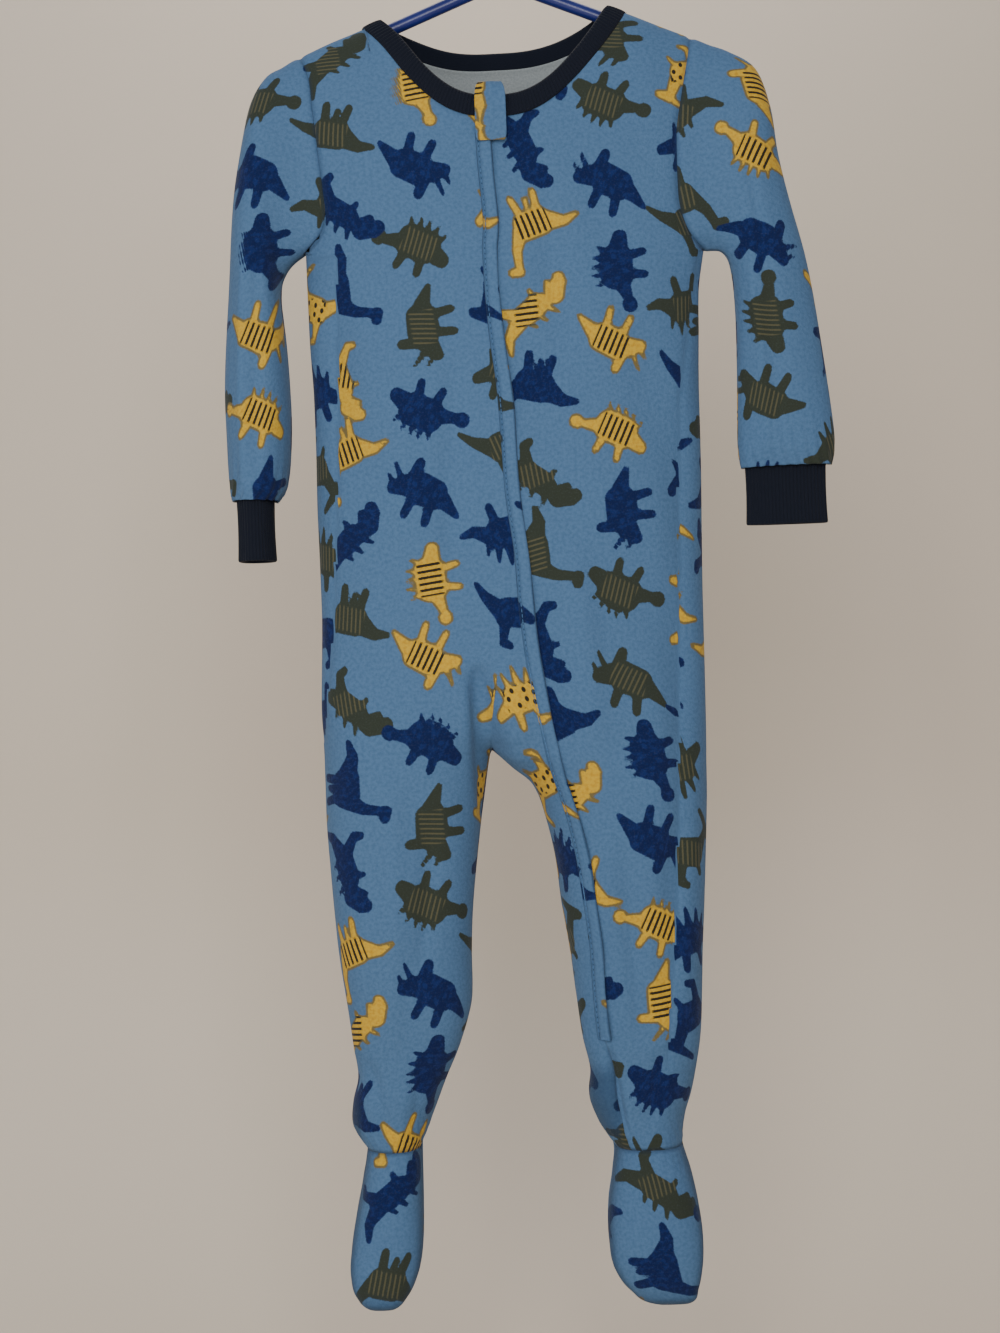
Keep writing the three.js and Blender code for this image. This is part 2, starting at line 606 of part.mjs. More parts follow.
const at = (x, z) => new THREE.Vector3(x, 0, z);
const armEnd = hanger.peak - hanger.slope * hanger.armReach;
const bendBars = [-1, 1].flatMap((side) => {
  const arm = bar(new THREE.LineCurve3(at(0, hanger.peak), at(side * hanger.armReach, armEnd)),
    hanger.tube, 1);
  const bend = bar(new THREE.CatmullRomCurve3([
    at(side * (hanger.armReach - 3), armEnd + 3 * hanger.slope),
    at(side * hanger.armReach, armEnd),
    at(side * (hanger.armReach + 6), armEnd - 3.8),
    at(side * (hanger.armReach + 8.2), armEnd - 9.4),
    at(side * (hanger.armReach + 6), hanger.barHeight + 5.2),
    at(side * (hanger.armReach + 1), hanger.barHeight + 0.8),
    at(side * hanger.barReach, hanger.barHeight),
    at(side * (hanger.barReach - 3), hanger.barHeight),
  ]), hanger.tube - 0.05, 10);
  return [arm, bend];
});
const bottomBar = bar(new THREE.LineCurve3(at(-hanger.barReach, hanger.barHeight),
  at(hanger.barReach, hanger.barHeight)), hanger.tube, 1);
const { hookRadius: hr, hookTube } = hanger;
const hookCentre = hookTube - hr;
const hookTurn = [205, 180, 150, 120, 90, 60, 30, 0, -25].map((degrees) => {
  const angle = degrees * Math.PI / 180;
  return at(hr * Math.cos(angle), hookCentre + hr * Math.sin(angle));
});
const hook = bar(new THREE.CatmullRomCurve3([
  ...hookTurn, at(10.5, -33), at(3, -40), at(0, -49), at(0, hanger.peak),
]), hookTube, 24);
const boss = solidOf(new THREE.SphereGeometry(7.5, 14, 8).translate(0, 0, hanger.peak));
const united = [...bendBars, bottomBar, hook].reduce((whole, next) => whole.add(next), boss);
const unitedMesh = united.getMesh();
garment.add(meshFrom('hanger', Array.from(unitedMesh.vertProperties),
  Array.from(unitedMesh.triVerts), colours.plastic, 0.35));

export default garment;
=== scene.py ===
import math
import bpy
import numpy as np
from mathutils import Matrix, Vector


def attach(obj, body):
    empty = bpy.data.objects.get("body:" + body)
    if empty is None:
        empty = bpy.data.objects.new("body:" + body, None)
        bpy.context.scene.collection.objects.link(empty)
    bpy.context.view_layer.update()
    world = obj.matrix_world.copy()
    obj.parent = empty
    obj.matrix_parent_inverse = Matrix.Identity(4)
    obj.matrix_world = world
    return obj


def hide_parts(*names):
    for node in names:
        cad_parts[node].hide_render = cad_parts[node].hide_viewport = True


# A child's footed fleece onesie on a tubular hanger. Sizes in the tables are millimetres,
# and every mesh is put into metres when it is made. The front of the garment faces -Y.
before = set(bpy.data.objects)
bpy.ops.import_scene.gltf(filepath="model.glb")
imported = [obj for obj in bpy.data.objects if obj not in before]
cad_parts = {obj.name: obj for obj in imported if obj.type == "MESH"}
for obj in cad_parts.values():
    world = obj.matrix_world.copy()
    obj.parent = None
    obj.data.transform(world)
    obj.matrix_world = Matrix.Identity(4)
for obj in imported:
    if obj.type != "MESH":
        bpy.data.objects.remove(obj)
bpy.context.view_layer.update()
mm = 0.001
print("frame loaded")

# What a user would change comes first: the shapes, in the same numbers as the solids.
cloth = {
    "wall": 2.0, "roundness": 2.4, "topRoundness": 2.6, "seamDip": 1.1, "seamWidth": 2.4,
    "cell": 2.3,     # the height of a row of the legs' mesh
}
hanger = {
    "tube": 4.0, "hookTube": 3.5, "hookRadius": 19.0, "peak": -62.0, "slope": 0.404,
    "armReach": 134.0, "barReach": 128.0, "barHeight": -139.0, "clothOverArm": 7.8,
    "peakBend": 60.0, "boss": 7.4,
}
neck = {
    "reach": 0.665, "power": 2.5, "narrowing": 0.139, "ribPitch": 2.3, "wall": 2.5,
    "frontOuter": 0.495, "frontInner": 0.569, "backOuter": 0.724, "backInner": 0.785,
    "rows": 12, "midRow": 6, "profile": 26, "ribHeight": 0.32, "swell": 0.9, "sink": -0.85,
}
armhole = {
    "q": [0, 0.07, 0.17, 0.3, 0.5, 0.7, 0.88, 1],
    "left": [-131, -121.5, -116.8, -117.6, -120, -122.4, -125, -130],
    "right": [124, 115.5, 109.5, 107.6, 107.8, 112, 116.8, 119.7],
}
torso = {
    "z": [-236.7, -262, -292, -325, -360, -395, -430, -462, -486, -508, -527, -542, -551, -557],
    "left": [-131, -130.6, -130.2, -128.9, -128.8, -129.1, -128.6, -128.6, -129.3, -130.2, -130.6,
             -130.1, -129.8, -129.7],
    "right": [124, 120.4, 119.2, 117.8, 117.2, 116.8, 116.3, 115.4, 115, 114.9, 114.8, 114.7,
              114.6, 114.5],
    "depth": [30, 32, 34, 36, 37, 38, 39, 40, 40, 39.5, 39, 38.5, 38, 38],
    "join": [0, 0, 0, 0, 0, 0, 0, 0, 0.02, 0.16, 0.42, 0.7, 0.9, 1],
    "split": [-29, -28, -26, -23, -20, -17, -14, -12, -13, -17, -20.5, -22.5, -23, -23],
    "zip": [-13, -12.4, -10.5, -7.1, -5.4, -3.8, 0.4, 2, 4, 6.6, 9.8, 12.8, 14.8, 16],
}
underarmTilt = 3.3     # how much lower the left underarm is than the middle
legDepth = {       # the same in both legs
    "front": [-38, -37.9, -37.6, -37, -36, -34.5, -33, -31, -28.5, -25, -22, -21, -18.5, -18, -22,
              -26, -30, -31, -29, -24, -16],
    "back": [38, 37.9, 37.6, 37, 36, 34.5, 33, 31, 29, 27, 32, 41, 46, 42, 31, 20, 10, 4, -2, -8,
             -16],
}
legs = {
    "right": {
        "z": [-557, -563, -571, -583, -597, -622, -650, -680, -710, -738, -761, -775, -791, -806,
              -822, -842, -866, -883, -896, -903.5, -906],
        "outer": [-129.7, -129.7, -129.6, -129.6, -129.5, -128.6, -127.3, -125, -121.1, -118, -116,
                  -119.6, -120.6, -112.5, -114.5, -118.8, -122.8, -123.8, -120.6, -114, -109.5],
        "inner": [-23, -24.6, -26.4, -28.6, -31, -34.4, -37.8, -39.8, -40.8, -48.8, -58.6, -64,
                  -70.5, -76.2, -76.3, -76.4, -77.2, -80.6, -87.4, -94.5, -99],
        **legDepth,
    },
    "left": {
        "z": [-557, -563, -571, -583, -597, -622, -650, -680, -710, -738, -761, -777, -793, -810,
              -825, -844, -867, -885, -898, -906, -909],
        "outer": [114.5, 114.3, 114.2, 114, 113.4, 111.8, 109.9, 107.8, 106.4, 104.5, 100.8, 97.6,
                  93.2, 91.6, 95.4, 99, 100.9, 99.6, 96.6, 93.5, 89],
        "inner": [-23, -11, -1, 5.6, 9.6, 15, 18.2, 22.4, 25.2, 28.6, 33.2, 32.2, 37.6, 46.6, 45,
                  41.4, 40.6, 43.6, 53, 64, 74],
        **legDepth,
        "zip": [16, 17.4, 19.6, 23.4, 27.4, 32.4, 36, 39.2, 40.4, 42.6, 46.5, 48, 51, 56, 57, 56,
                57, 60, 66, 73, 79],
    },
}
crotchZ = -557
splitStartZ = -486     # below it the two legs begin to part
ankleZ = {"right": -806, "left": -810}     # the vamp's seam, in front
heelZ = {"right": -791, "left": -793}      # the sole's heel, behind
zipEndZ = -738
# the cloth is drawn up a little round the crotch
crotchLift = {"x": -23, "z": -557, "width": 9, "height": 12, "lift": 3}
sleeves = {
    "right": {
        "inX": [-136, -141.5, -146, -147.3, -146.4, -145, -143.8, -143.4, -145, -148, -153.6],
        "inZ": [-236.5, -242, -250.5, -262, -275, -291, -315, -340, -366, -382, -390],
        "outX": [-141, -152.6, -163.6, -171.2, -176.6, -180.8, -183.4, -185, -185.1, -184.2,
                 -182.8],
        "outZ": [-112, -119, -139, -175, -214, -254, -294, -331, -363, -381, -389],
        "depth": [19, 22, 25, 27, 28, 28, 28, 28, 27, 25.6, 24.8],
    },
    "left": {
        "inX": [129.5, 135, 139, 141.2, 142.2, 142.7, 142.6, 142.1, 141.2, 140.8, 142.2],
        "inZ": [-239.5, -240.5, -246, -257, -270, -285, -304, -325, -347, -367, -379],
        "outX": [131, 144, 160, 168.3, 172.8, 180.2, 188.6, 195.8, 201, 203.4, 200.2],
        "outZ": [-107, -112, -124, -148, -178, -210, -246, -286, -328, -362, -378],
        "depth": [18, 20, 21, 21, 20.5, 19.5, 18.5, 17, 16, 14.4, 11.2],
    },
}
cuffs = {
    "right": {"centre": -168.2, "halfWidth": 12.2, "halfDepth": 22, "top": -383, "bottom": -428},
    "left": {"centre": 171.2, "halfWidth": 26.2, "halfDepth": 7.4, "top": -372, "bottom": -415.5},
    "wall": 2.5, "ribPitch": 2.3, "ribHeight": 0.6,
}
guard = {
    "width": 19.6, "centre": -9.6, "thick": 1.8,
    "z": [-169.5, -163, -152, -142, -135.5, -133, -135.5, -142.5, -149.5],
    "out": [2.6, 3.6, 3.6, 3.2, 1.6, -1.4, -4.4, -5.2, -5.2],
    "shiftU": 170, "shiftV": 15, "rise": 30.4,
}
# Soft creases: the side (-1 is the front), x and z at one end, x and z at the other, the
# width, and the height, which is negative for a groove.
creases = [
    (-1, -110, -246, -114, -380, 10, -5), (-1, 104, -330, 92, -640, 9, -4.5),
    (-1, 92, -600, 82, -730, 8, -3.5), (-1, -29, -498, -23, -562, 6, -5),
    (-1, -8, -500, -4, -566, 11, 3), (-1, -66, -250, -74, -470, 22, 2.4),
    (-1, 52, -215, 60, -430, 24, 2.2), (1, -88, -250, -96, -520, 12, -5),
    (1, 84, -260, 76, -560, 12, -5), (1, -30, -190, -22, -420, 18, 3),
    (1, 34, -300, 26, -500, 16, -3),
]
# Smaller creases that only the drawn cloth has, in the same form.
smallCreases = [
    (-1, -31, -500, -28, -600, 5, -4.5), (-1, -12, -520, -3, -585, 8, 2.6),
    (-1, -84, -560, -92, -742, 8, 2.4), (-1, -62, -590, -72, -700, 6, -2.4),
    (-1, 58, -610, 66, -745, 7, -2.6), (-1, -108, -746, -96, -796, 4.5, -2),
    (-1, -72, -748, -82, -798, 5, -1.8), (-1, 44, -742, 53, -800, 3, -4),
    (-1, 78, -744, 70, -794, 5, -1.8), (-1, 22, -190, 30, -320, 9, -2.2),
    (-1, -38, -300, -46, -470, 8, -2.4), (-1, 34, -420, 44, -560, 9, 2.2),
    (1, -70, -600, -80, -740, 8, -2), (1, 70, -590, 66, -730, 8, 2),
    (1, 4, -230, -4, -360, 9, -1.6),
]
# The side seams as they show in front: beyond each line the print breaks.
sideLines = [
    {"sign": -1, "down": [240, 380, 470, 545], "x": [-110, -114, -120, -129.6], "end": 545},
    {"sign": 1, "down": [240, 330, 640, 749], "x": [121, 104, 91.5, 82], "end": 762},
]
sideBreaks = {"start": 237, "shiftU": 31, "shiftV": 17, "depth": 0.9, "width": 1.7}
# The heels that show beside the ankles in front are painted on as shadow: the line that ends each,
# as x and z at one end, then at the other.
heelLines = [(-113, -771, -115, -808), (46, -752, 51, -798)]
# The gathers beside a seam: their pitch, height and reach.
gathers = {
    "legFront": (6.5, 0.9, 9), "legBack": (8, 0.9, 9), "foot": (6.5, 0.7, 7),
    "wrist": (7.5, 0.8, 12),
}
# Creases of a sleeve: the side, how far each end is from the underarm (0) to the outer edge
# (1), the row of the sleeve's table at each end, the width and the height.
sleeveCreases = {
    "right": [(-1, 0.46, 0.52, 3.5, 10, 0.10, -2.2), (-1, 0.74, 0.7, 5, 10.6, 0.07, 1.4),
              (1, 0.4, 0.5, 3, 9, 0.1, -2)],
    "left": [(-1, 0.5, 0.42, 3, 9.5, 0.10, -1.8), (-1, 0.24, 0.3, 5, 10.6, 0.07, 1.3),
             (1, 0.55, 0.45, 3, 9, 0.1, -2)],
}
# The cut of each cloth piece, in metres: width and length before it was sewn, and its area.
cuts = {
    "frontRight": (0.19, 0.74, 0.098), "frontLeft": (0.15, 0.74, 0.078),
    "backPanel": (0.31, 0.72, 0.17), "sleeveRight": (0.24, 0.29, 0.04),
    "sleeveLeft": (0.24, 0.29, 0.04), "footUpperRight": (0.07, 0.105, 0.0063),
    "footUpperLeft": (0.08, 0.105, 0.0073), "soleRight": (0.075, 0.13, 0.0077),
    "soleLeft": (0.085, 0.13, 0.0088), "neckBinding": (0.37, 0.025, 0.0065),
    "cuffRight": (0.122, 0.045, 0.0054), "cuffLeft": (0.122, 0.045, 0.0054),
    "zipFlap": (0.0105, 0.6, 0.0063), "chinGuard": (0.0196, 0.06, 0.0011),
}


def mix(a, b, t):
    return a + (b - a) * t


def stack(*parts):
    return np.stack(np.broadcast_arrays(*parts), -1)


def bell(x):
    return np.exp(-(x**2))


def unit(vectors):
    return vectors / np.linalg.norm(vectors, axis=-1, keepdims=True)


def signedPower(wave, power):
    return np.sign(wave) * np.abs(wave) ** power


def lengthAlong(path):
    return np.r_[0, np.cumsum(np.linalg.norm(np.diff(path, axis=0), axis=1))]


def pointsAlong(path, at, length):
    return stack(*(np.interp(at, length, column) for column in path.T))


def cubic(t, span, start, end, startSlope, endSlope):
    return ((2 * t**3 - 3 * t**2 + 1) * start + (t**3 - 2 * t**2 + t) * span * startSlope
            + (3 * t**2 - 2 * t**3) * end + (t**3 - t**2) * span * endSlope)


def bow(s, power=cloth["roundness"]):
    # how deep a section is at s: 1 in the middle and 0 at -1 and 1
    return np.maximum(0, 1 - np.abs(s) ** power) ** (1 / power)


def curve(keys, values, at):
    # a cubic through a table's values, its slope at each row taken from the rows beside it
    keys, values = np.asarray(keys, float), np.asarray(values, float)
    if keys[0] > keys[-1]:
        keys, at = -keys, -np.asarray(at)
    slopes = np.gradient(values, keys)
    steps = np.diff(values) / np.diff(keys)
    limit = 3 * np.minimum(np.abs(np.r_[steps[0], steps]), np.abs(np.r_[steps, steps[-1]]))
    slopes = np.clip(slopes, -limit, limit)
    i = np.clip(np.searchsorted(keys, at, side="right") - 1, 0, len(keys) - 2)
    span = keys[i + 1] - keys[i]
    t = np.clip((at - keys[i]) / span, 0, 1)
    return cubic(t, span, values[i], values[i + 1], slopes[i], slopes[i + 1])


def evenPlaces(start, end, count, width, depth, power=cloth["roundness"]):
    # places between start and end at even steps along x = width s, y = depth bow(s)
    s = np.sin(np.linspace(-1, 1, 4001) * math.pi / 2)
    length = np.r_[0, np.cumsum(np.hypot(np.diff(width * s), np.diff(depth * bow(s, power))))]
    first, last = np.interp([start, end], s, length)
    return np.interp(np.linspace(first, last, count + 1), length, s)


def creaseAt(x, z, side, table=creases):
    push = np.zeros(np.broadcast(x, z).shape)
    for creaseSide, x1, z1, x2, z2, width, height in table:
        if creaseSide == side:
            t = (z - z1) / (z2 - z1)
            along = np.maximum(0, 1 - (2 * t - 1) ** 4) * (t > 0) * (t < 1)
            push = push + height * along * bell((x - mix(x1, x2, t)) / width)
    return push


# how far the armhole has opened at a place up it, from 0 to 1
opening = [[0, 0.03, 0.07, 0.12, 0.17, 0.3, 0.5, 0.7, 0.88, 1],
           [0, 0.10, 0.28, 0.44, 0.538, 0.656, 0.785, 0.883, 0.956, 1]]


def upperPoint(s, q, side):
    # the upper torso at s across it and q up it, over the hanger's arms
    left, right = (curve(armhole["q"], armhole[k], q) for k in ("left", "right"))
    x = (left + right) / 2 + s * (right - left) / 2
    out = np.abs(x)
    bend = hanger["peakBend"]
    rise = np.where(out > bend, out, out * out / (2 * bend) + bend / 2)
    top = hanger["peak"] + hanger["clothOverArm"] - hanger["slope"] * rise
    z = mix(torso["z"][0] - underarmTilt * s, top, q)
    y = torso["depth"][0] * bow(s * (1 - 0.2 * curve(*opening, q))) * bow(q, cloth["topRoundness"])
    edge = (1 - s * s) * (1 - q**6)
    return stack(x, side * (y + creaseAt(x, z, side) * edge), z)


def neckEdge(s, low):
    return mix(low, 1, np.minimum(1, (np.abs(s) / neck["reach"]) ** neck["power"]))


def neckPlace(s):
    u = np.abs(s) / neck["reach"]
    return np.where(u < 1, s * (1 + 1.2 * u * (1 - u)), s)


def section(s, start, end, z, front, back, seam, side, tilt=0):
    # x from s, y bowed from the seam line to the front or the back
    depth = seam - front if side < 0 else back - seam
    x = mix(start, end, (s + 1) / 2)
    c = crotchLift
    near = ((x - c["x"]) / c["width"]) ** 2 + ((z - c["z"]) / c["height"]) ** 2
    bowed = bow(s)
    push = creaseAt(x, z, side) * np.minimum(1, bowed * bowed * 1.4) * (depth > 12)
    y = seam + side * (depth * bowed + push)
    return stack(x, y, z - tilt * s + c["lift"] * np.exp(-near))


def lengths(points, axis):
    step = np.linalg.norm(np.diff(points, axis=axis), axis=-1)
    pad = [(0, 0), (0, 0)]
    pad[axis] = (1, 0)
    return np.pad(np.cumsum(step, axis=axis), pad)


def edgeDistance(points, sides):
    # how far each point of a grid is from the nearest of some of its edges, along the grid
    across, down = lengths(points, 1), lengths(points, 0)
    found = {
        "left": across, "right": across[:, -1:] - across,
        "top": down, "bottom": down[-1:] - down,
    }
    return np.min([found[k] for k in sides], axis=0)


counts = {"leftHalf": 60, "middle": 12, "rightHalf": 56, "upper": 78, "lower": 144}


def snapNeck(s):
    # moves the nearest places so that one lies at each end of the neck
    for end in (-neck["reach"], neck["reach"]):
        k = int(np.argmin(np.abs(s - end)))
        s = s + (end - s[k]) * bell((s - s[k]) / 0.12)
    return s


# Typical half widths and depths, by which the places along a row are spaced evenly.
torsoSize, legSize, topSize = (125, 34), (47, 34), (150, 30)
legZip = -0.55     # the zip's place across the left leg, from -1 to 1
quarter = evenPlaces(-1, 0, counts["leftHalf"], *torsoSize)
wholeLeg = evenPlaces(-1, 1, counts["leftHalf"], *legSize)
restQuarter = evenPlaces(0, 1, counts["rightHalf"], *torsoSize)
legRest = (evenPlaces(legZip, 1, counts["rightHalf"], *legSize) - legZip) / (1 - legZip)


def halfPlaces(which, offset, zipAt, join):
    # places across one half at each row, in the patterns of a torso and of a leg
    offset, zipAt, join = (np.reshape(v, (-1, 1)) for v in (offset, zipAt, join))
    if which == "right":
        return mix(-1 + (quarter + 1) * (1 + offset), wholeLeg, join)
    start = mix(offset, -1, join)
    t = np.linspace(0, 1, counts["middle"] + 1)
    t = mix(t, t**1.5, join)
    rest = mix(zipAt, 1, mix(restQuarter, legRest, join))
    return np.concatenate([mix(start, zipAt, t), rest[:, 1:]], axis=1)


centre0 = (torso["left"][0] + torso["right"][0]) / 2
half0 = (torso["right"][0] - torso["left"][0]) / 2
offset0 = (torso["split"][0] - centre0) / half0
zip0 = (torso["zip"][0] - centre0) / half0
topColumns = snapNeck(np.concatenate([
    halfPlaces("right", offset0, 0, 0)[0], halfPlaces("left", offset0, zip0, 0)[0, 1:]]))
splitColumn = counts["leftHalf"]
zipColumn = splitColumn + counts["middle"]
# each half's middle column, and the last column of each leg
halfMiddle = {"right": counts["leftHalf"] // 2, "left": zipColumn + counts["rightHalf"] // 2}
legEnd = {"right": counts["leftHalf"], "left": counts["middle"] + counts["rightHalf"]}
upperQ = evenPlaces(0, 1, counts["upper"], *topSize, cloth["topRoundness"])[:0:-1]
upperQ = np.r_[upperQ, 0.0075, 0.003, 0.0004, 0]


def upperPlaces(side):
    # each point's place across and up the upper torso
    low = neck["frontOuter"] if side < 0 else neck["backOuter"]
    s, q = topColumns[None, :], upperQ[:, None]
    even = np.linspace(1, 0, len(upperQ))[:, None]
    share = np.where(np.abs(s) < neck["reach"] - 1e-6, mix(even, q, s * s), q)
    place = neckPlace(s)
    return mix(s, place, share), share * neckEdge(place, low)


def lowerGrid(side):
    z = np.linspace(torso["z"][0], crotchZ, counts["lower"] + 1)[1:]
    t = {k: curve(torso["z"], torso[k], z) for k in torso if k != "z"}
    t["join"] = np.interp(-z, -np.array(torso["z"]), torso["join"])
    tilt = underarmTilt * np.clip((z - torso["z"][1]) / (torso["z"][0] - torso["z"][1]), 0, 1)
    centre, half = (t["left"] + t["right"]) / 2, (t["right"] - t["left"]) / 2
    offset = mix((t["split"] - centre) / half, 0, np.minimum(1, t["join"] * 8))
    endRight, startLeft = mix(offset, 1, t["join"]), mix(offset, -1, t["join"])
    split = np.where(t["join"] > 0, t["split"], centre + offset * half)
    farRight = t["left"] + (split - t["left"]) * 2 / (1 + endRight)
    farLeft = t["right"] - (t["right"] - split) * 2 / (1 - startLeft)
    zipAt = 2 * (t["zip"] - farLeft) / (t["right"] - farLeft) - 1
    left, farRight, farLeft, right, z, depth, tilt = (
        v[:, None] for v in (t["left"], farRight, farLeft, t["right"], z, t["depth"], tilt))
    a, b = (section(halfPlaces(which, offset, zipAt, t["join"]), start, end, z,
                    -depth, depth, 0, side, tilt)
            for which, start, end in (("right", left, farRight), ("left", farLeft, right)))
    return np.concatenate([a, b[:, 1:]], axis=1)


def legGrid(which, side, zFrom, zTo):
    leg = legs[which]
    steps = int(abs(zTo - zFrom) / cloth["cell"])
    z = np.linspace(zFrom, zTo, steps + 2)
    if zTo == leg["z"][-1]:        # closer rows at the toe, where the foot rounds off
        z = mix(zFrom, zTo, 1 - (1 - np.linspace(0, 1, steps + 8)) ** 1.35)
    seams = np.add(leg["front"], leg["back"]) / 2
    seams = np.where(np.abs(seams) < 4, 0, seams)
    t = {k: curve(leg["z"], leg[k], z) for k in leg if k != "z"}
    seam = curve(leg["z"], seams, z)
    start, end = (t["outer"], t["inner"]) if which == "right" else (t["inner"], t["outer"])
    zipAt = 2 * (t.get("zip", start) - start) / (end - start) - 1
    s = halfPlaces(which, np.ones(len(z)), zipAt, np.ones(len(z)))
    start, end, z, front, back, seam = (
        v[:, None] for v in (start, end, z, t["front"], t["back"], seam))
    return section(s, start, end, z, front, back, seam, side)


def sleeveGrid(which):
    # loops from the underarm up the front, over the top and down the back
    sign = -1 if which == "right" else 1
    q = upperQ[::-1]
    n = len(q)
    hole = np.concatenate([upperPoint(np.full(n, sign), q, -1),
                           upperPoint(np.full(n, sign), q, 1)[-2::-1]])
    turn = np.concatenate([q, q[-2::-1]])
    front = np.concatenate([np.full(n, -1), np.full(n - 1, 1)])
    t = sleeves[which]
    rows = np.arange(len(t["inX"]) + 1)
    ends = {"inX": hole[0, 0], "inZ": hole[0, 2], "outX": hole[n - 1, 0],
            "outZ": hole[n - 1, 2], "depth": 18.0}
    capRows = 3        # the rows of the table over which the armhole's shape fades
    capCount, restCount = 34, 90
    at = np.concatenate([np.linspace(0, capRows, capCount),
                         np.linspace(capRows, len(rows) - 1, restCount)[1:]])
    c = {k: curve(rows, [ends[k], *t[k]], at)[:, None] for k in ends}
    settle = np.minimum(1, at / capRows)[:, None]
    settle = settle * settle * (3 - 2 * settle) * 0.5 + settle * 0.5
    sine = 2 * np.sqrt(turn * (1 - turn))
    bend = hole - mix(hole[:1], hole[n - 1:n], turn[:, None])
    x = mix(c["inX"], c["outX"], turn) + bend[:, 0] * (1 - settle)
    y = mix(hole[:, 1] * np.ones((len(at), 1)), front * c["depth"] * sine**0.83, settle)
    z = mix(c["inZ"], c["outZ"], turn) + bend[:, 2] * (1 - settle)
    push = np.zeros(x.shape)
    for side, q1, q2, row1, row2, width, height in sleeveCreases[which]:
        along = (at[:, None] - row1) / (row2 - row1)
        near = bell((turn - mix(q1, q2, along)) / width) * (front == side)
        push += height * near * np.maximum(0, 1 - (2 * along - 1) ** 4) * (abs(along - 0.5) < 0.5)
    # the print hangs straight down, and is carried round the outer edge to the back
    run = unit(stack(c["outX"] - c["inX"], c["inZ"] - c["outZ"]))
    deepest = np.abs(y).max(axis=1, keepdims=True)
    extra = np.sign(turn - 0.5) * 0.6 * (deepest - np.abs(y))
    place = stack(x, -z) + extra[..., None] * run
    edge = place[:, n - 1:n]
    first, last = edge[capCount + 8, 0], edge[-1, 0]
    line = unit(last - first)

    def folded(point):         # mirrored in a straight line down the outer edge
        along = np.sum((point - first) * line, axis=-1, keepdims=True)
        return 2 * first + 2 * along * line - point

    fade = np.exp(-np.linalg.norm(edge - place, axis=-1, keepdims=True) / 25)
    behind = folded(place) + (edge - folded(edge)) * fade
    place = np.where(front[:, None] > 0, behind, place)
    return stack(x, y, z), push, place[..., 0], place[..., 1]


# The print: the builder's own simple dinosaurs, laid out in a half drop. Each motif is a set
# of tapered strokes: x, y and radius at one end, then at the other.
motifs = {
    "longNeck": [
        (-6, 0, 7, 5, 0, 7.2), (-10, 1, 5.2, -19, 4, 2.9), (-19, 4, 2.9, -28, 3, 1.4),
        (9, 2, 4.6, 14, 9, 3.3), (14, 9, 3.3, 16, 17, 2.7), (16, 18.5, 3.1, 21.5, 18, 2.3),
        (5, -5, 3, 6.5, -13, 2.6), (-6, -5, 3, -8, -13, 2.6), (-1, -5, 2.4, -1.5, -11, 2)],
    "plateBack": [
        (-7, -1, 6.6, 5, -1, 7), (-12, -1, 4.2, -20, -4, 2.6), (-20, -4, 2.6, -28, -3, 1.3),
        (11, -4, 3.8, 18, -7, 2.7), (-6, -6, 2.9, -8, -13, 2.5), (5, -6, 2.9, 6.5, -13, 2.5),
        (-12, 3, 2, -14.5, 7.5, 1), (-7, 5, 2.4, -8.5, 11, 1.1), (-1, 6, 2.7, -1, 13, 1.2),
        (5, 5.5, 2.4, 6.5, 11, 1.1), (10, 2, 2, 12.5, 6.5, 1)],
    "hornFace": [
        (-8, 0, 7, 3, 0, 7.6), (-14, -1, 4, -25, -5, 1.4), (9, 1, 3.6, 8, 10, 3.2),
        (11, -1, 5.2, 18, -4, 3.3), (15, 1, 1.7, 22, 6.5, 1), (18, -3, 1.5, 23, 0.5, 1),
        (-7, -5, 3, -8.5, -13, 2.6), (4, -5, 3, 5, -13, 2.6)],
    "bigJaw": [
        (-4, -1, 6.6, 3, 6, 6.4), (6, 13, 5, 14, 15, 4.3), (14, 16, 3.6, 18.5, 15.5, 3),
        (8, 11, 2.8, 15.5, 10.5, 1.8), (-8, -4, 4.8, -17, -9, 2.8), (-17, -9, 2.8, -27, -9, 1.3),
        (-3, -5, 4.2, -1, -12, 2.9), (-1, -13, 2.6, 4, -14.5, 1.9), (6, 4, 1.9, 11.5, 2, 1.3),
        (-9, 1, 1.7, -12, 4, 1), (-5.5, 6, 1.7, -8.5, 9, 1), (-1, 11, 1.7, -3.5, 14.5, 1)],
    "crested": [
        (-6, 0, 6.6, 4, 1, 6.9), (-11, 1, 4.2, -20, 5, 2.5), (-20, 5, 2.5, -27, 10, 1.3),
        (8, 5, 4.2, 12, 11, 3.3), (13, 12.5, 3.7, 20, 10.5, 2.4), (11, 15, 2.3, 3, 20, 1.4),
        (-5, -5, 3.6, -4, -12, 2.4), (-4, -13.5, 2.2, 1, -14.5, 1.7), (6, -3, 2, 9.5, -8, 1.5)],
    "clubTail": [
        (-7, 0, 7.6, 6, 0, 7.6), (-13, -2, 3.6, -22, -4, 2.1), (-24, -4, 3.6, -26, -4, 3.4),
        (13, -2, 4.3, 18.5, -3, 3.3), (-6, -6, 2.9, -7.5, -12, 2.5), (5, -6, 2.9, 6.5, -12, 2.5),
        (-9, 6, 1.8, -10.5, 9.5, 1), (-4, 7, 1.8, -4.5, 11, 1), (1, 7, 1.8, 1, 11, 1),
        (6, 6.5, 1.8, 7, 10, 1), (11, 4.5, 1.6, 13, 7.5, 1)],
}
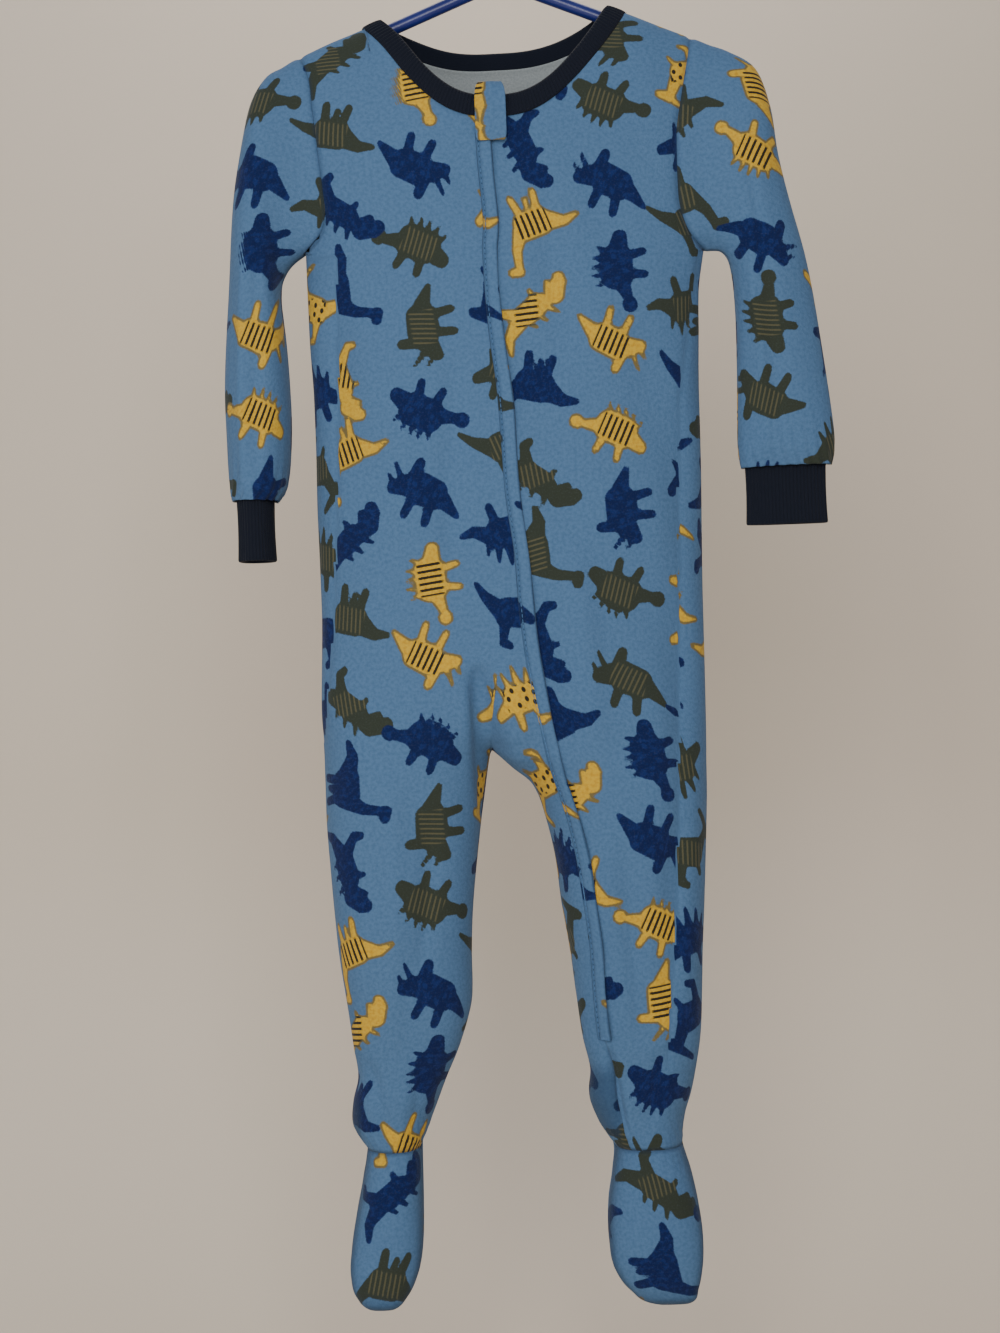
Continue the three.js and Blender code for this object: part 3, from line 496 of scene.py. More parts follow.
layout = {
    "across": 53.0, "down": 52.0, "reach": 42.0, "jitter": 2.0,
    "length": 1.04, "height": 1.4,     # how much longer and taller than the table's motifs
    "turns": [14, 192, 82, 340, 168, 25, 265, 350, 205],
    "inks": [0, 1, 0, 2, 0, 1, 2],      # 0 navy, 1 olive, 2 yellow
}


def printOn(u, v, seed):
    # signed distance to each ink in millimetres, and the place inside the nearest motif
    u, v = u.ravel(), v.ravel()
    field = np.full((3, len(u)), 9.0)
    local = np.zeros((len(u), 3))
    names = list(motifs)
    a, d = layout["across"], layout["down"]
    for i in range(int(u.min() // a) - 1, int(u.max() // a) + 3):
        for j in range(int(v.min() // d) - 1, int(v.max() // d) + 3):
            k = 5 * i + 3 * j + seed
            cu = i * a + layout["jitter"] * math.sin(7 * k)
            cv = (j + 0.5 * (i % 2)) * d + layout["jitter"] * math.cos(5 * k)
            near = np.nonzero(np.hypot(u - cu, v - cv) < layout["reach"])[0]
            if not len(near):
                continue
            which = (2 * i + 3 * j + seed) % len(names)
            ink = layout["inks"][(i + 3 * j + seed) % len(layout["inks"])]
            turn = math.radians(layout["turns"][k % len(layout["turns"])])
            x, y = u[near] - cu, v[near] - cv
            x, y = (x * math.cos(turn) + y * math.sin(turn),
                    -x * math.sin(turn) + y * math.cos(turn))
            x = x / layout["length"] * (-1 if (i + j) % 2 else 1)
            y = y / layout["height"]
            best = np.full(len(near), 9.0)
            for x1, y1, r1, x2, y2, r2 in motifs[names[which]]:
                dx, dy = x2 - x1, y2 - y1
                t = np.clip(((x - x1) * dx + (y - y1) * dy) / (dx * dx + dy * dy), 0, 1)
                gap = np.hypot(x - x1 - t * dx, y - y1 - t * dy) - mix(r1, r2, t)
                best = np.minimum(best, gap * layout["length"])
            better = best < field[:, near].min(axis=0)
            local[near[better]] = stack(x, y, which % 3)[better]
            field[ink, near] = np.minimum(field[ink, near], best)
    return {"navyInk": field[0], "oliveInk": field[1], "yellowInk": field[2],
            "motifPlace": local,
            "clothPlace": stack(u, v, seed * 40.0)}     # each piece has its own stretch of nap


def newObject(name, points, groups, attributes=None):
    # groups holds arrays of faces, one array for each number of corners
    mesh = bpy.data.meshes.new(name)
    mesh.vertices.add(len(points))
    mesh.vertices.foreach_set("co", (np.asarray(points) * mm).astype(np.float32).ravel())
    groups = [np.asarray(g) for g in groups if len(g)]
    sizes = np.concatenate([np.full(len(g), g.shape[1]) for g in groups])
    loops = np.concatenate([g.ravel() for g in groups])
    mesh.loops.add(len(loops))
    mesh.loops.foreach_set("vertex_index", loops.astype(np.int32))
    mesh.polygons.add(len(sizes))
    mesh.polygons.foreach_set("loop_start", (np.cumsum(sizes) - sizes).astype(np.int32))
    mesh.polygons.foreach_set("use_smooth", np.ones(len(sizes), bool))
    mesh.update()
    for key, found in (attributes or {}).items():
        single = found.ndim == 1
        layer = mesh.attributes.new(key, "FLOAT" if single else "FLOAT_VECTOR", "POINT")
        layer.data.foreach_set("value" if single else "vector", found.astype(np.float32).ravel())
    made = bpy.data.objects.new(name, mesh)
    bpy.context.scene.collection.objects.link(made)
    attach(made, "root")
    return made


def gridFaces(rows, columns, flip=False, closed=False):
    r, c = np.meshgrid(np.arange(rows - 1), np.arange(columns - (0 if closed else 1)),
                       indexing="ij")
    a = r * columns + c
    b = r * columns + (c + 1) % columns
    quads = stack(a, a + columns, b + columns, b).reshape(-1, 4)
    return quads[:, ::-1] if flip else quads


def tubeFaces(rows, n):
    # a closed profile of n points carried along some rows, with a face at each end
    caps = np.array([np.arange(n)[::-1], (rows - 1) * n + np.arange(n)])
    return [gridFaces(rows, n, False, True), caps]


def declare(made, node):
    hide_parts(node)
    width, length, area = cuts[made.name]
    return made


# The whole skin is a list of grids. They are welded once, so that two pieces bend alike
# along the seam between them.
skin = []
# the strength and widths of the painted shade along the seams, round the feet's rims and on the
# heels
shades = {"seam": 0.5, "seamWidth": 1.5, "rimWidth": 3.2, "heel": 0.8, "heelReach": 30}


def shadeAt(piece, points, gap):
    # painted shade: how dark the cloth is drawn along its seams, round the feet's rims where they
    # turn under, and on the heels beside the ankles
    shade = shades["seam"] * bell(gap / shades["seamWidth"])
    if piece.startswith("foot"):
        # painted shadow round the foot's rim, where it turns under
        x, z = points[..., 0], points[..., 2]
        rim = np.minimum.reduce([x - x[:, :1], x[:, -1:] - x, (z - z[-1:]) * 0.4])
        shade = np.maximum(shade, bell(rim / shades["rimWidth"]))
    if piece.startswith("front"):
        # painted shadow on the heels that show beside the ankles in front
        for x1, z1, x2, z2 in heelLines:
            t = (points[..., 2] - z1) / (z2 - z1)
            beyond = mix(x1, x2, t) - points[..., 0]
            inside = (beyond < shades["heelReach"]) * np.clip(t * 4, 0, 1) * (t < 1.1)
            heel = np.clip(beyond / 1.2, 0, 1) * inside
            shade = np.maximum(shade, heel * shades["heel"])
    return shade


def addGrid(piece, points, side, u, v, sides, push=0):
    # soft waves all over, none at the seams, which lie in a shallow dip
    gap = edgeDistance(points, sides)
    x, z = points[..., 0], points[..., 2]
    ripple = (0.75 * np.sin(x / 13 + 2.1 * np.sin(z / 71)) * np.sin(z / 37 + x / 61)
              + 0.3 * np.sin(x / 6.1 + z / 23 + 1.3 * side))
    inner = 1 - bell(gap / 7)
    dip = -cloth["seamDip"] * bell(gap / cloth["seamWidth"])
    skin.append({"piece": piece, "points": points, "side": side, "u": u, "v": v,
                 "shade": shadeAt(piece, points, gap),
                 "push": dip + (push + ripple) * inner})


def rowArc(points):
    # length along each row as seen from above
    step = np.linalg.norm(np.diff(points[..., :2], axis=1), axis=-1)
    return np.pad(np.cumsum(step, axis=1), ((0, 0), (1, 0)))


arcSteps = {"up": 60, "half": 100}
placesS = np.linspace(-1, 1, 2 * arcSteps["half"] + 1)
placesQ = np.linspace(0, 1, arcSteps["up"] + 1)
arcTable = rowArc(upperPoint(placesS[None, :], placesQ[:, None], -1))
arcTable = arcTable - arcTable[:, [arcSteps["half"]]]


def arcAt(s, q):
    # the table's value between its four nearest places
    up, across = q * arcSteps["up"], (s + 1) * arcSteps["half"]
    i = np.clip(up.astype(int), 0, arcSteps["up"] - 1)
    j = np.clip(across.astype(int), 0, 2 * arcSteps["half"] - 1)
    f, g = up - i, across - j
    return mix(mix(arcTable[i, j], arcTable[i + 1, j], f),
               mix(arcTable[i, j + 1], arcTable[i + 1, j + 1], f), g)


def torsoGrid(side):
    # points and print place of one side's torso, and the print's place where each leg begins
    s, q = upperPlaces(side)
    upper, lower = upperPoint(s, q, side), lowerGrid(side)
    arc = rowArc(lower)
    centre = (lower[:, 0, 0] + lower[:, -1, 0]) / 2
    zero = np.array([np.interp(c, row[:, 0], a) for c, row, a in zip(centre, lower, arc)])
    flat = lower[:, 0, 2] > splitStartZ
    lowerU = np.empty(arc.shape)
    base = {}
    for half, columns in (("right", slice(0, splitColumn)), ("left", slice(splitColumn, None))):
        middle = arc[:, halfMiddle[half]]
        start = middle - zero
        start[~flat] = start[flat][-1]
        base[half] = start[-1]
        lowerU[:, columns] = arc[:, columns] - middle[:, None] + start[:, None]
    points = np.concatenate([upper, lower])
    u = np.concatenate([arcAt(s, q), lowerU])
    v = -points[..., 2]
    v[:len(upper)] -= 0.7 * torso["depth"][0] * (1 - bow(q, cloth["topRoundness"]))
    return points, u, v, base


def pleats(points, edgeZ, where, waver=1.3):
    # small pleats beside a gathered seam; they fade to nothing at the seam itself
    pitch, height, fade = gathers[where]
    across = lengths(points, 1)
    wave = np.sin(across * 2 * math.pi / pitch + waver * np.sin(across * 0.21))
    return height * wave * np.exp(-np.abs(points[..., 2] - edgeZ) / fade)


def sideBreak(points, u, v):
    # beyond a side seam's line the print belongs to the cloth that wraps round from behind
    b, x, down = sideBreaks, points[..., 0], -points[..., 2]
    groove = np.zeros(x.shape)
    for line in sideLines:
        gap = (x - np.interp(down, line["down"], line["x"])) * line["sign"]
        inside = (down > b["start"]) & (down < line["end"])
        beyond = (gap > 0) & inside
        u, v = u + b["shiftU"] * line["sign"] * beyond, v + b["shiftV"] * beyond
        groove -= b["depth"] * bell(gap / b["width"]) * inside
    return u, v, groove


lastColumn = zipColumn + counts["rightHalf"]
printShift = {"frontRight": (0, 0), "frontLeft": (37, 11), "backPanel": (0, 0)}
base = {}


def addPart(piece, points, side, u, v, first, last, sides, extra=None):
    shiftU, shiftV = printShift[piece]
    u, v = u + shiftU, v + shiftV
    push = creaseAt(points[..., 0], points[..., 2], side, smallCreases)
    if side < 0:
        u, v, groove = sideBreak(points, u, v)
        push = push + groove
    if extra:
        push = push + pleats(points, *extra)
    points, u, v, push = (a[:, first:last + 1] for a in (points, u, v, push))
    addGrid(piece, points, side, u, v, sides, push)


def addLeg(piece, which, side, first, last, sides):
    edge = ankleZ[which] if side < 0 else heelZ[which]
    points = legGrid(which, side, crotchZ, edge)
    arc = rowArc(points)
    middle = halfMiddle[which] - (splitColumn if which == "left" else 0)
    u = arc - arc[:, [middle]] + base[side][which]
    addPart(piece, points, side, u, -points[..., 2], first, last, sides,
            (edge, "legFront" if side < 0 else "legBack"))


for side in (-1, 1):
    points, u, v, base[side] = torsoGrid(side)
    if side < 0:
        frontPoints = points
        addPart("frontRight", points, side, u, v, 0, zipColumn, ["left", "top"])
        addPart("frontLeft", points, side, u, v, zipColumn, lastColumn, ["right", "top"])
        addLeg("frontRight", "right", side, 0, legEnd["right"], ["left", "right", "bottom"])
        addLeg("frontRight", "left", side, 0, counts["middle"], ["left", "bottom"])
        addLeg("frontLeft", "left", side, counts["middle"], legEnd["left"], ["right", "bottom"])
    else:
        addPart("backPanel", points, side, u, v, 0, lastColumn, ["left", "right", "top"])
        for which in legs:
            addLeg("backPanel", which, side, 0, legEnd[which], ["left", "right", "bottom"])

for which in ("right", "left"):
    label = which.capitalize()
    last = legs[which]["z"][-1]
    for piece, side, start in ((f"footUpper{label}", -1, ankleZ[which]),
                               (f"sole{label}", 1, heelZ[which])):
        points = legGrid(which, side, start, last)
        arc = rowArc(points)
        addGrid(piece, points, side, arc - arc[:, [halfMiddle["right"]]], -points[..., 2],
                ["left", "right", "top", "bottom"], pleats(points, start, "foot"))
    points, push, u, v = sleeveGrid(which)
    waves = pleats(points, points[..., 2].min(), "wrist", 0)
    addGrid(f"sleeve{label}", points, 1 if which == "right" else -1, u, v,
            ["left", "right", "top"], push + waves)


def weldSkin():
    # one number for each place of the skin, and the normal there
    points = np.concatenate([g["points"].reshape(-1, 3) for g in skin])
    quads, start = [], 0
    for g in skin:
        rows, columns = g["points"].shape[:2]
        g["start"] = start
        g["quads"] = gridFaces(rows, columns, g["side"] > 0) + start
        quads.append(g["quads"])
        start += rows * columns
    keys = np.round(points, 2) + 0.0
    _, first, welded = np.unique(keys, axis=0, return_index=True, return_inverse=True)
    welded = welded.ravel()
    points = points[first]
    faces = welded[np.concatenate(quads)]
    a, b, c, d = (points[faces[:, k]] for k in range(4))
    n = np.cross(c - a, d - b)
    total = np.stack([np.bincount(faces.ravel(), np.repeat(n[:, k], 4), len(points))
                      for k in range(3)], -1)
    return points, total / np.maximum(np.linalg.norm(total, axis=1, keepdims=True), 1e-9), welded


skinPoints, skinNormals, welded = weldSkin()


def clothPiece(name, node, seed):
    grids = [g for g in skin if g["piece"] == name]
    whole = np.concatenate([welded[g["start"]:g["start"] + g["u"].size] for g in grids])
    used, first = np.unique(whole, return_index=True)
    u, v, shade, push = (np.concatenate([g[k].ravel() for g in grids])[first]
                         for k in ("u", "v", "shade", "push"))
    quads = np.searchsorted(used, welded[np.concatenate([g["quads"] for g in grids])])
    same = (quads == np.roll(quads, -1, axis=1)).sum(axis=1)
    thin = quads[same == 1]       # two of its corners are welded, so it is a triangle
    triangles = [np.delete(thin[thin[:, k] == thin[:, (k + 1) % 4]], k, axis=1)
                 for k in range(4)]
    points = skinPoints[used] + skinNormals[used] * push[:, None]
    attributes = printOn(u, v, seed)
    # painted shade along the seams, round the feet's rims and on the heels
    attributes["paintedShade"] = shade
    # at the neck's tight corners the wrong side is drawn like the right side
    corners = upperPoint(neckPlace(np.array([-1, 1]) * neck["reach"]), np.ones(2), -1)
    away = np.linalg.norm(points[:, None] - corners, axis=2).min(axis=1)
    attributes["atCorner"] = np.clip(3 - away / 8, 0, 1)
    made = newObject(name, points, [quads[same == 0], np.concatenate(triangles)], attributes)
    solidify = made.modifiers.new("wall", "SOLIDIFY")
    solidify.thickness = cloth["wall"] * mm
    solidify.offset = -1
    solidify.use_even_offset = False
    solidify.thickness_clamp = 1.6      # thinner where the mesh is crowded
    solidify.material_offset = 1
    return declare(made, node)


clothPieces = [clothPiece(name, node, seed) for name, node, seed in (
    ("frontRight", "front_right", 1), ("frontLeft", "front_left", 4), ("backPanel", "back", 2),
    ("sleeveRight", "sleeve_right", 5), ("sleeveLeft", "sleeve_left", 8),
    ("footUpperRight", "foot_upper_right", 3), ("footUpperLeft", "foot_upper_left", 9),
    ("soleRight", "sole_right", 6), ("soleLeft", "sole_left", 11))]
print("panels, sleeves and feet made")


def neckBand():
    # the band's middle surface runs from the panels' edge to the neck opening
    edges = {-1: ("frontOuter", "frontInner"), 1: ("backOuter", "backInner")}
    columns = []
    start, end = zip0 + 0.012, zip0 - 0.001     # open at the zip
    for side, places in ((-1, np.linspace(start, neck["reach"], 140)),
                         (1, np.linspace(neck["reach"], -neck["reach"], 280)[1:]),
                         (-1, np.linspace(-neck["reach"], end, 130)[1:])):
        outer, inner = (neck[k] for k in edges[side])
        place = neckPlace(places)
        w = np.linspace(-0.12, 1, neck["rows"])[:, None]
        q = mix(neckEdge(place, outer), neckEdge(place, inner), w)
        columns.append(upperPoint(place * (1 - neck["narrowing"] * w), q, side))
    surface = np.concatenate(columns, axis=1)
    # even steps along the band
    length = lengthAlong(surface[neck["midRow"]])
    even = np.arange(0, length[-1], neck["ribPitch"] / 6)
    surface = np.stack([pointsAlong(row, even, length) for row in surface])
    normal = unit(np.cross(np.gradient(surface, axis=0), np.gradient(surface, axis=1)))
    row, outward = surface[neck["midRow"]], normal[neck["midRow"]]
    if np.mean(np.sum((row - row.mean(axis=0)) * outward, axis=-1)) < 0:
        normal = -normal
    for _ in range(14):        # smoother where the band turns over the shoulders
        normal[:, 1:-1] = (normal[:, :-2] + normal[:, 2:] + normal[:, 1:-1]) / 3
    normal = unit(normal)
    # the profile goes from the seam edge over the outside, round the fold and back inside
    n = neck["profile"]
    t = np.arange(n) / n
    across = np.where(t < 0.5, t * 2, 2 - t * 2)
    fold = np.clip((across - 0.86) / 0.14, 0, 1)
    seam = np.clip((0.1 - across) / 0.1, 0, 1)
    height = np.where(t < 0.5, 1.0, -1.0) * np.sqrt(1 - fold**2) * (1 - 0.45 * seam**2)
    rib = neck["ribHeight"] * np.cos(even * 2 * math.pi / neck["ribPitch"])
    rowAt = across * (neck["rows"] - 1)
    i = np.clip(rowAt.astype(int), 0, neck["rows"] - 2)
    f = (rowAt - i)[:, None, None]
    swell = (height > 0) * neck["swell"] * np.sqrt(np.sin(np.pi * np.clip(across, 0.08, 0.96)))
    total = ((neck["sink"] + height * neck["wall"] / 2 + swell)[:, None]
             + rib * (height * (height > 0.2))[:, None])
    out = mix(normal[i], normal[i + 1], f)
    points = mix(surface[i], surface[i + 1], f) + out * total[..., None]
    count = points.shape[1]
    place = stack(even[:, None], np.arange(n) * 1.0, 0.0)
    return points.transpose(1, 0, 2).reshape(-1, 3), tubeFaces(count, n), place.reshape(-1, 3)


points, faces, place = neckBand()
neckBinding = declare(newObject("neckBinding", points, faces, {"clothPlace": place}),
                      "neck_binding")


def cuffMesh(which):
    c = cuffs[which]
    wall = cuffs["wall"]
    angle = np.linspace(0, 2 * math.pi, 2001)
    ring = stack(
        signedPower(np.cos(angle), 0.85) * c["halfWidth"],
        signedPower(np.sin(angle), 0.85) * c["halfDepth"])
    length = lengthAlong(ring)
    ribs = int(round(length[-1] / cuffs["ribPitch"]))
    count = ribs * 7
    even = np.arange(count) * length[-1] / count
    ring = pointsAlong(ring, even, length)
    tangent = np.roll(ring, -3, axis=0) - np.roll(ring, 3, axis=0)
    normal = unit(stack(tangent[:, 1], -tangent[:, 0]))
    rib = cuffs["ribHeight"] * (np.cos(even / length[-1] * ribs * 2 * math.pi) - 1) / 2
    top, bottom = c["top"], c["bottom"]
    n = 22       # rows of each face, and seven more round the fold
    outerZ = mix(top, bottom + wall / 2, np.linspace(0, 1, n))
    turn = np.linspace(0, math.pi, 9)[1:-1]
    z = np.concatenate([outerZ, bottom + wall / 2 - wall / 2 * np.sin(turn), outerZ[::-1]])
    depth = np.concatenate([np.zeros(n), wall / 2 * (1 - np.cos(turn)), np.full(n, wall)])
    show = np.concatenate([np.ones(n), np.cos(turn / 2) ** 2, np.zeros(n)])
    flare = 0.6 * np.sin(np.clip((top - z) / (top - bottom), 0, 1) * math.pi)
    out = -depth[:, None] + show[:, None] * rib - flare[:, None]
    xy = ring[None] + normal[None] * out[..., None]
    points = np.concatenate([xy, np.repeat(z[:, None], count, 1)[..., None]], -1)
    points[..., 0] += c["centre"]
    rows = len(z)
    place = stack(even[None, :], z[:, None], 0.0)
    one = np.arange(count)
    two = (one + 1) % count
    rim = stack(one + (rows - 1) * count, one, two, two + (rows - 1) * count)
    faces = np.concatenate([gridFaces(rows, count, False, True), rim])
    return points.reshape(-1, 3), [faces], {"clothPlace": place.reshape(-1, 3)}


ribPieces = [neckBinding]
for which in ("right", "left"):
    label = which.capitalize()
    ribPieces.append(declare(newObject(f"cuff{label}", *cuffMesh(which)), f"cuff_{which}"))
print("bands made")


def zipPath():
    # the skin along the zip, with the directions across it and out of it
    leg = legGrid("left", -1, crotchZ, zipEndZ)[1:]
    k, m = zipColumn, counts["middle"]
    across = np.concatenate([frontPoints[:, k + 2] - frontPoints[:, k - 2],
                             leg[:, m + 2] - leg[:, m - 2]])
    middle = np.concatenate([frontPoints[:, k], leg[:, m]])
    across = unit(across)
    return middle, across, unit(np.cross(np.gradient(middle, axis=0), across))


flap = {     # across and height of the flap's profile, from its sewn edge round and back
    "across": [-4.9, -4.7, -3.9, -3.2, -2.5, -1, 1.5, 3.4, 4.5, 4.9, 4.6, 1.5, -1.5],
    "height": [-0.2, 0.9, 1.2, 0.45, 1.3, 2.0, 2.3, 2.5, 2.2, 1.3, 0.6, 0.4, 0.3],
    "start": 12, "shiftU": 23, "shiftV": -14, "seams": [-4.9, -3.2, 4.9],
}
middleLine, acrossLine, outLine = (line[flap["start"]:] for line in zipPath())


def flapMesh():
    a, h = np.array(flap["across"]), np.array(flap["height"])
    along = lengthAlong(middleLine)
    waver = 0.35 * np.sin(along / 23) + 0.25 * np.sin(along / 9.1 + 1)
    lift = 0.3 * np.sin(along / 31 + 2) + 0.2 * np.sin(along / 11)
    a = a + waver[:, None] * (a > 1)
    h = h + np.maximum(0, lift)[:, None] * (a > 3)
    points = (middleLine[:, None] + acrossLine[:, None] * a[..., None]
              + outLine[:, None] * h[..., None])
    faces = tubeFaces(*points.shape[:2])
    place = printOn(a + flap["shiftU"] + 0 * h, -points[..., 2] + flap["shiftV"], 1)
    # painted shade in the grooves at the flap's edges and along its stitch line
    lines = [bell((a - x) / 0.6) for x in flap["seams"]]
    place["paintedShade"] = (np.maximum.reduce(lines) + 0 * h).ravel()
    return points.reshape(-1, 3), faces, place


zipFlap = declare(newObject("zipFlap", *flapMesh()), "zip_flap")
stitch = {"pitch": 3.4, "length": 2.6, "radius": 0.28, "across": -3.2, "height": 0.65}


def stitchMesh():
    # short threads along the flap's sewn edge: each a six-sided spindle
    line = middleLine + acrossLine * stitch["across"] + outLine * stitch["height"]
    length = lengthAlong(line)
    starts = np.arange(2, length[-1] - 4, stitch["pitch"])
    t = np.linspace(0, 1, 6)
    angle = np.linspace(0, 2 * math.pi, 7)[:-1]
    at = starts[:, None] + t * stitch["length"]
    centre, side, out = (pointsAlong(v, at, length) for v in (line, acrossLine, outLine))
    width = stitch["radius"] * np.sin(np.pi * np.clip(t, 0.06, 0.94)) ** 0.5
    lift = 0.2 * np.sin(np.pi * t)
    ring = (side[:, :, None] * np.cos(angle)[:, None] + out[:, :, None] * np.sin(angle)[:, None]
            ) * width[None, :, None, None]
    points = centre[:, :, None] + ring + out[:, :, None] * lift[None, :, None, None]
    ends = np.array([[0, 1, 2, 3], [0, 3, 4, 5], [33, 32, 31, 30], [35, 34, 33, 30]])
    one = np.concatenate([gridFaces(6, 6, False, True), ends])
    faces = (one[None] + (np.arange(len(starts)) * 36)[:, None, None]).reshape(-1, 4)
    return points.reshape(-1, 3), [faces]


stitches = newObject("flapStitches", *stitchMesh())


def guardMesh():
    # a rounded tab folded over the top of the zip
    steps, n = 60, 28
    key = np.arange(len(guard["z"]))
    at = np.linspace(0, len(key) - 1, steps)
    z, out = curve(key, guard["z"], at), curve(key, guard["out"], at)
    top = hanger["peak"] + hanger["clothOverArm"] - hanger["slope"] * guard["rise"]
    q = (z - torso["z"][0]) / (top - torso["z"][0])
    line = stack(upperPoint(np.full(steps, -0.03), q, -1)[:, 1] - out, z)
    tangent = np.gradient(line, axis=0)
    normal = unit(stack(-tangent[:, 1], tangent[:, 0]))
    angle = np.arange(n) / n * 2 * math.pi
    half, thick = guard["width"] / 2, guard["thick"]
    x = half * signedPower(np.cos(angle), 0.25)
    h = thick / 2 * signedPower(np.sin(angle), 0.6)
    taper = np.ones(steps)       # the tab's lower corners are rounded
    taper[:7] = np.sqrt(1 - (1 - np.arange(1, 8) / 8) ** 2) * 0.25 + 0.75
    taper = taper * (1 - 0.24 * bell((at - 5) / 1.1))
    dip = 0.35 * bell((np.abs(x) - half + 2.4) / 0.8) * (h > 0)
    rise = thick / 2 + h - dip
    points = stack(guard["centre"] + x[None] * taper[:, None],
                       line[:, :1] + normal[:, :1] * rise, line[:, 1:] + normal[:, 1:] * rise)
    along = lengthAlong(line)
    place = printOn(x[None] + 0 * along[:, None] + guard["shiftU"],
                    -along[:, None] + 0 * x[None] + guard["shiftV"], 3)
    return points.reshape(-1, 3), tubeFaces(steps, n), place


chinGuard = declare(newObject("chinGuard", *guardMesh()), "chin_guard")
print("zip flap and chin guard made")


def tube(path, radius, closed, sides=24):
    # circles along a path in the XZ plane
    path = np.asarray(path, float)
    tangent = np.gradient(path, axis=0)
    if closed:
        tangent = np.roll(path, -1, axis=0) - np.roll(path, 1, axis=0)
    side = unit(stack(tangent[:, 1], -tangent[:, 0]))
    angle = np.arange(sides) / sides * 2 * math.pi
    radius = np.broadcast_to(radius, len(path))[:, None]
    xz = path[:, None] + side[:, None] * (radius * np.cos(angle))[..., None]
    points = stack(xz[..., 0], radius * np.sin(angle), xz[..., 1]).reshape(-1, 3)
    faces = gridFaces(len(path) + closed, sides, True, True)
    return points, faces % len(points)


def smoothPath(knots, count):
    knots = np.asarray(knots, float)
    key = lengthAlong(knots)
    at = np.linspace(0, key[-1], count)
    slopes = np.gradient(knots, key, axis=0)
    i = np.clip(np.searchsorted(key, at, side="right") - 1, 0, len(key) - 2)
    span = (key[i + 1] - key[i])[:, None]
    t = ((at - key[i]) / span[:, 0])[:, None]
    return cubic(t, span, knots[i], knots[i + 1], slopes[i], slopes[i + 1])


def hangerMesh():
    # the loop of arms and bar, the hook, and the boss between them
    peak, slope, reach, bar = (hanger[k] for k in ("peak", "slope", "armReach", "barHeight"))
    armEnd = peak - slope * reach
    oneSide = [(x, peak - x * slope) for x in (6, 40, 90, reach - 6, reach)]
    oneSide += [(reach + 6, armEnd - 3.8), (reach + 8.2, armEnd - 9.4), (reach + 6, bar + 5.2),
                (reach + 1, bar + 0.8), (hanger["barReach"], bar), (60, bar), (0, bar)]
    loop = smoothPath(oneSide + [(-x, z) for x, z in oneSide[-2::-1]], 420)
    parts = [tube(np.concatenate([[(0, peak)], loop]), hanger["tube"], True)]
    radius, centre = hanger["hookRadius"], hanger["hookTube"] - hanger["hookRadius"]
    hook = [(radius * math.cos(math.radians(d)), centre + radius * math.sin(math.radians(d)))
            for d in (205, 180, 150, 120, 90, 60, 30, 0, -25)]
    hookRows = 150
    hookTube = np.full(hookRows, hanger["hookTube"])
    hookTube[:8] *= np.sqrt(1 - (1 - np.arange(1, 9) / 8.5) ** 2)
    parts.append(tube(smoothPath(hook + [(10.5, -33), (3, -40), (0, -49), (0, peak)], hookRows),
                      hookTube, False))
    t = np.linspace(-1, 1, 15)
    bossLine = stack(0, peak - hanger["boss"] * t)
    parts.append(tube(bossLine, hanger["boss"] * np.sqrt(np.maximum(0.0004, 1 - t**2)), False))
    starts = np.cumsum([0] + [len(p) for p, _ in parts[:-1]])
    faces = np.concatenate([f + start for (_, f), start in zip(parts, starts)])
    return np.concatenate([p for p, _ in parts]), [faces]


hangerPiece = newObject("hangerTube", *hangerMesh())
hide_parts("hanger")
print("hanger made")


class Value:
    # a socket of a shader with arithmetic: each operator adds one math node
    def __init__(self, shader, socket):
        self.shader = shader
        self.socket = socket

    def math(self, operation, *others):
        return self.shader.make("Math", {"operation": operation}, self, *others)

    def __add__(self, other):
        return self.math("ADD", other)

    def __sub__(self, other):
        return self.math("SUBTRACT", other)

    def __mul__(self, other):
        return self.math("MULTIPLY", other)

    def __rsub__(self, other):
        return self.shader.make("Math", {"operation": "SUBTRACT"}, other, self)

    def ramp(self, low, high):
        return self.shader.make("MapRange", {"interpolation_type": "SMOOTHSTEP"},
                                self, low, high, 0.0, 1.0)


class Shader:
    # one material, and short ways to add nodes to it
    def __init__(self, name):
        self.material = bpy.data.materials.new(name)
        self.material.use_nodes = True
        self.tree = self.material.node_tree
        self.surface = self.tree.nodes["Principled BSDF"]

    def make(self, kind, settings, *inputs, output=0):
        node = self.tree.nodes.new("ShaderNode" + kind)
        for key, value in settings.items():
            setattr(node, key, value)
        for socket, value in zip(node.inputs, inputs):
            self.put(socket, value)
        return Value(self, node.outputs[output])

    def put(self, socket, value):
        if isinstance(value, Value):
            self.tree.links.new(value.socket, socket)
        elif value is not None:
            socket.default_value = value

    def attribute(self, name, output="Fac"):
        node = self.tree.nodes.new("ShaderNodeAttribute")
        node.attribute_name = name
        return Value(self, node.outputs[output])

    def objectPlace(self):
        return self.make("TexCoord", {}, output=3)

    def noise(self, vector, scale, detail=2.0, rough=0.5):
        return self.make("TexNoise", {"noise_dimensions": "3D"}, vector, None, scale,
                         detail, rough)

    def blend(self, amount, first, second):
        node = self.tree.nodes.new("ShaderNodeMix")
        node.data_type = "RGBA"
        self.put(node.inputs[0], amount)
        self.put(node.inputs[6], first)
        self.put(node.inputs[7], second)
        return Value(self, node.outputs[2])

    def bump(self, height, distance, strength=1.0):
        node = self.tree.nodes.new("ShaderNodeBump")
        self.put(node.inputs["Height"], height)
        node.inputs["Distance"].default_value = distance
        node.inputs["Strength"].default_value = strength
        return Value(self, node.outputs[0])

    def finish(self, constants, varying):
        for key, value in constants.items():
            self.surface.inputs[key].default_value = value
        for key, value in varying.items():
            self.put(self.surface.inputs[key], value)
        return self.material


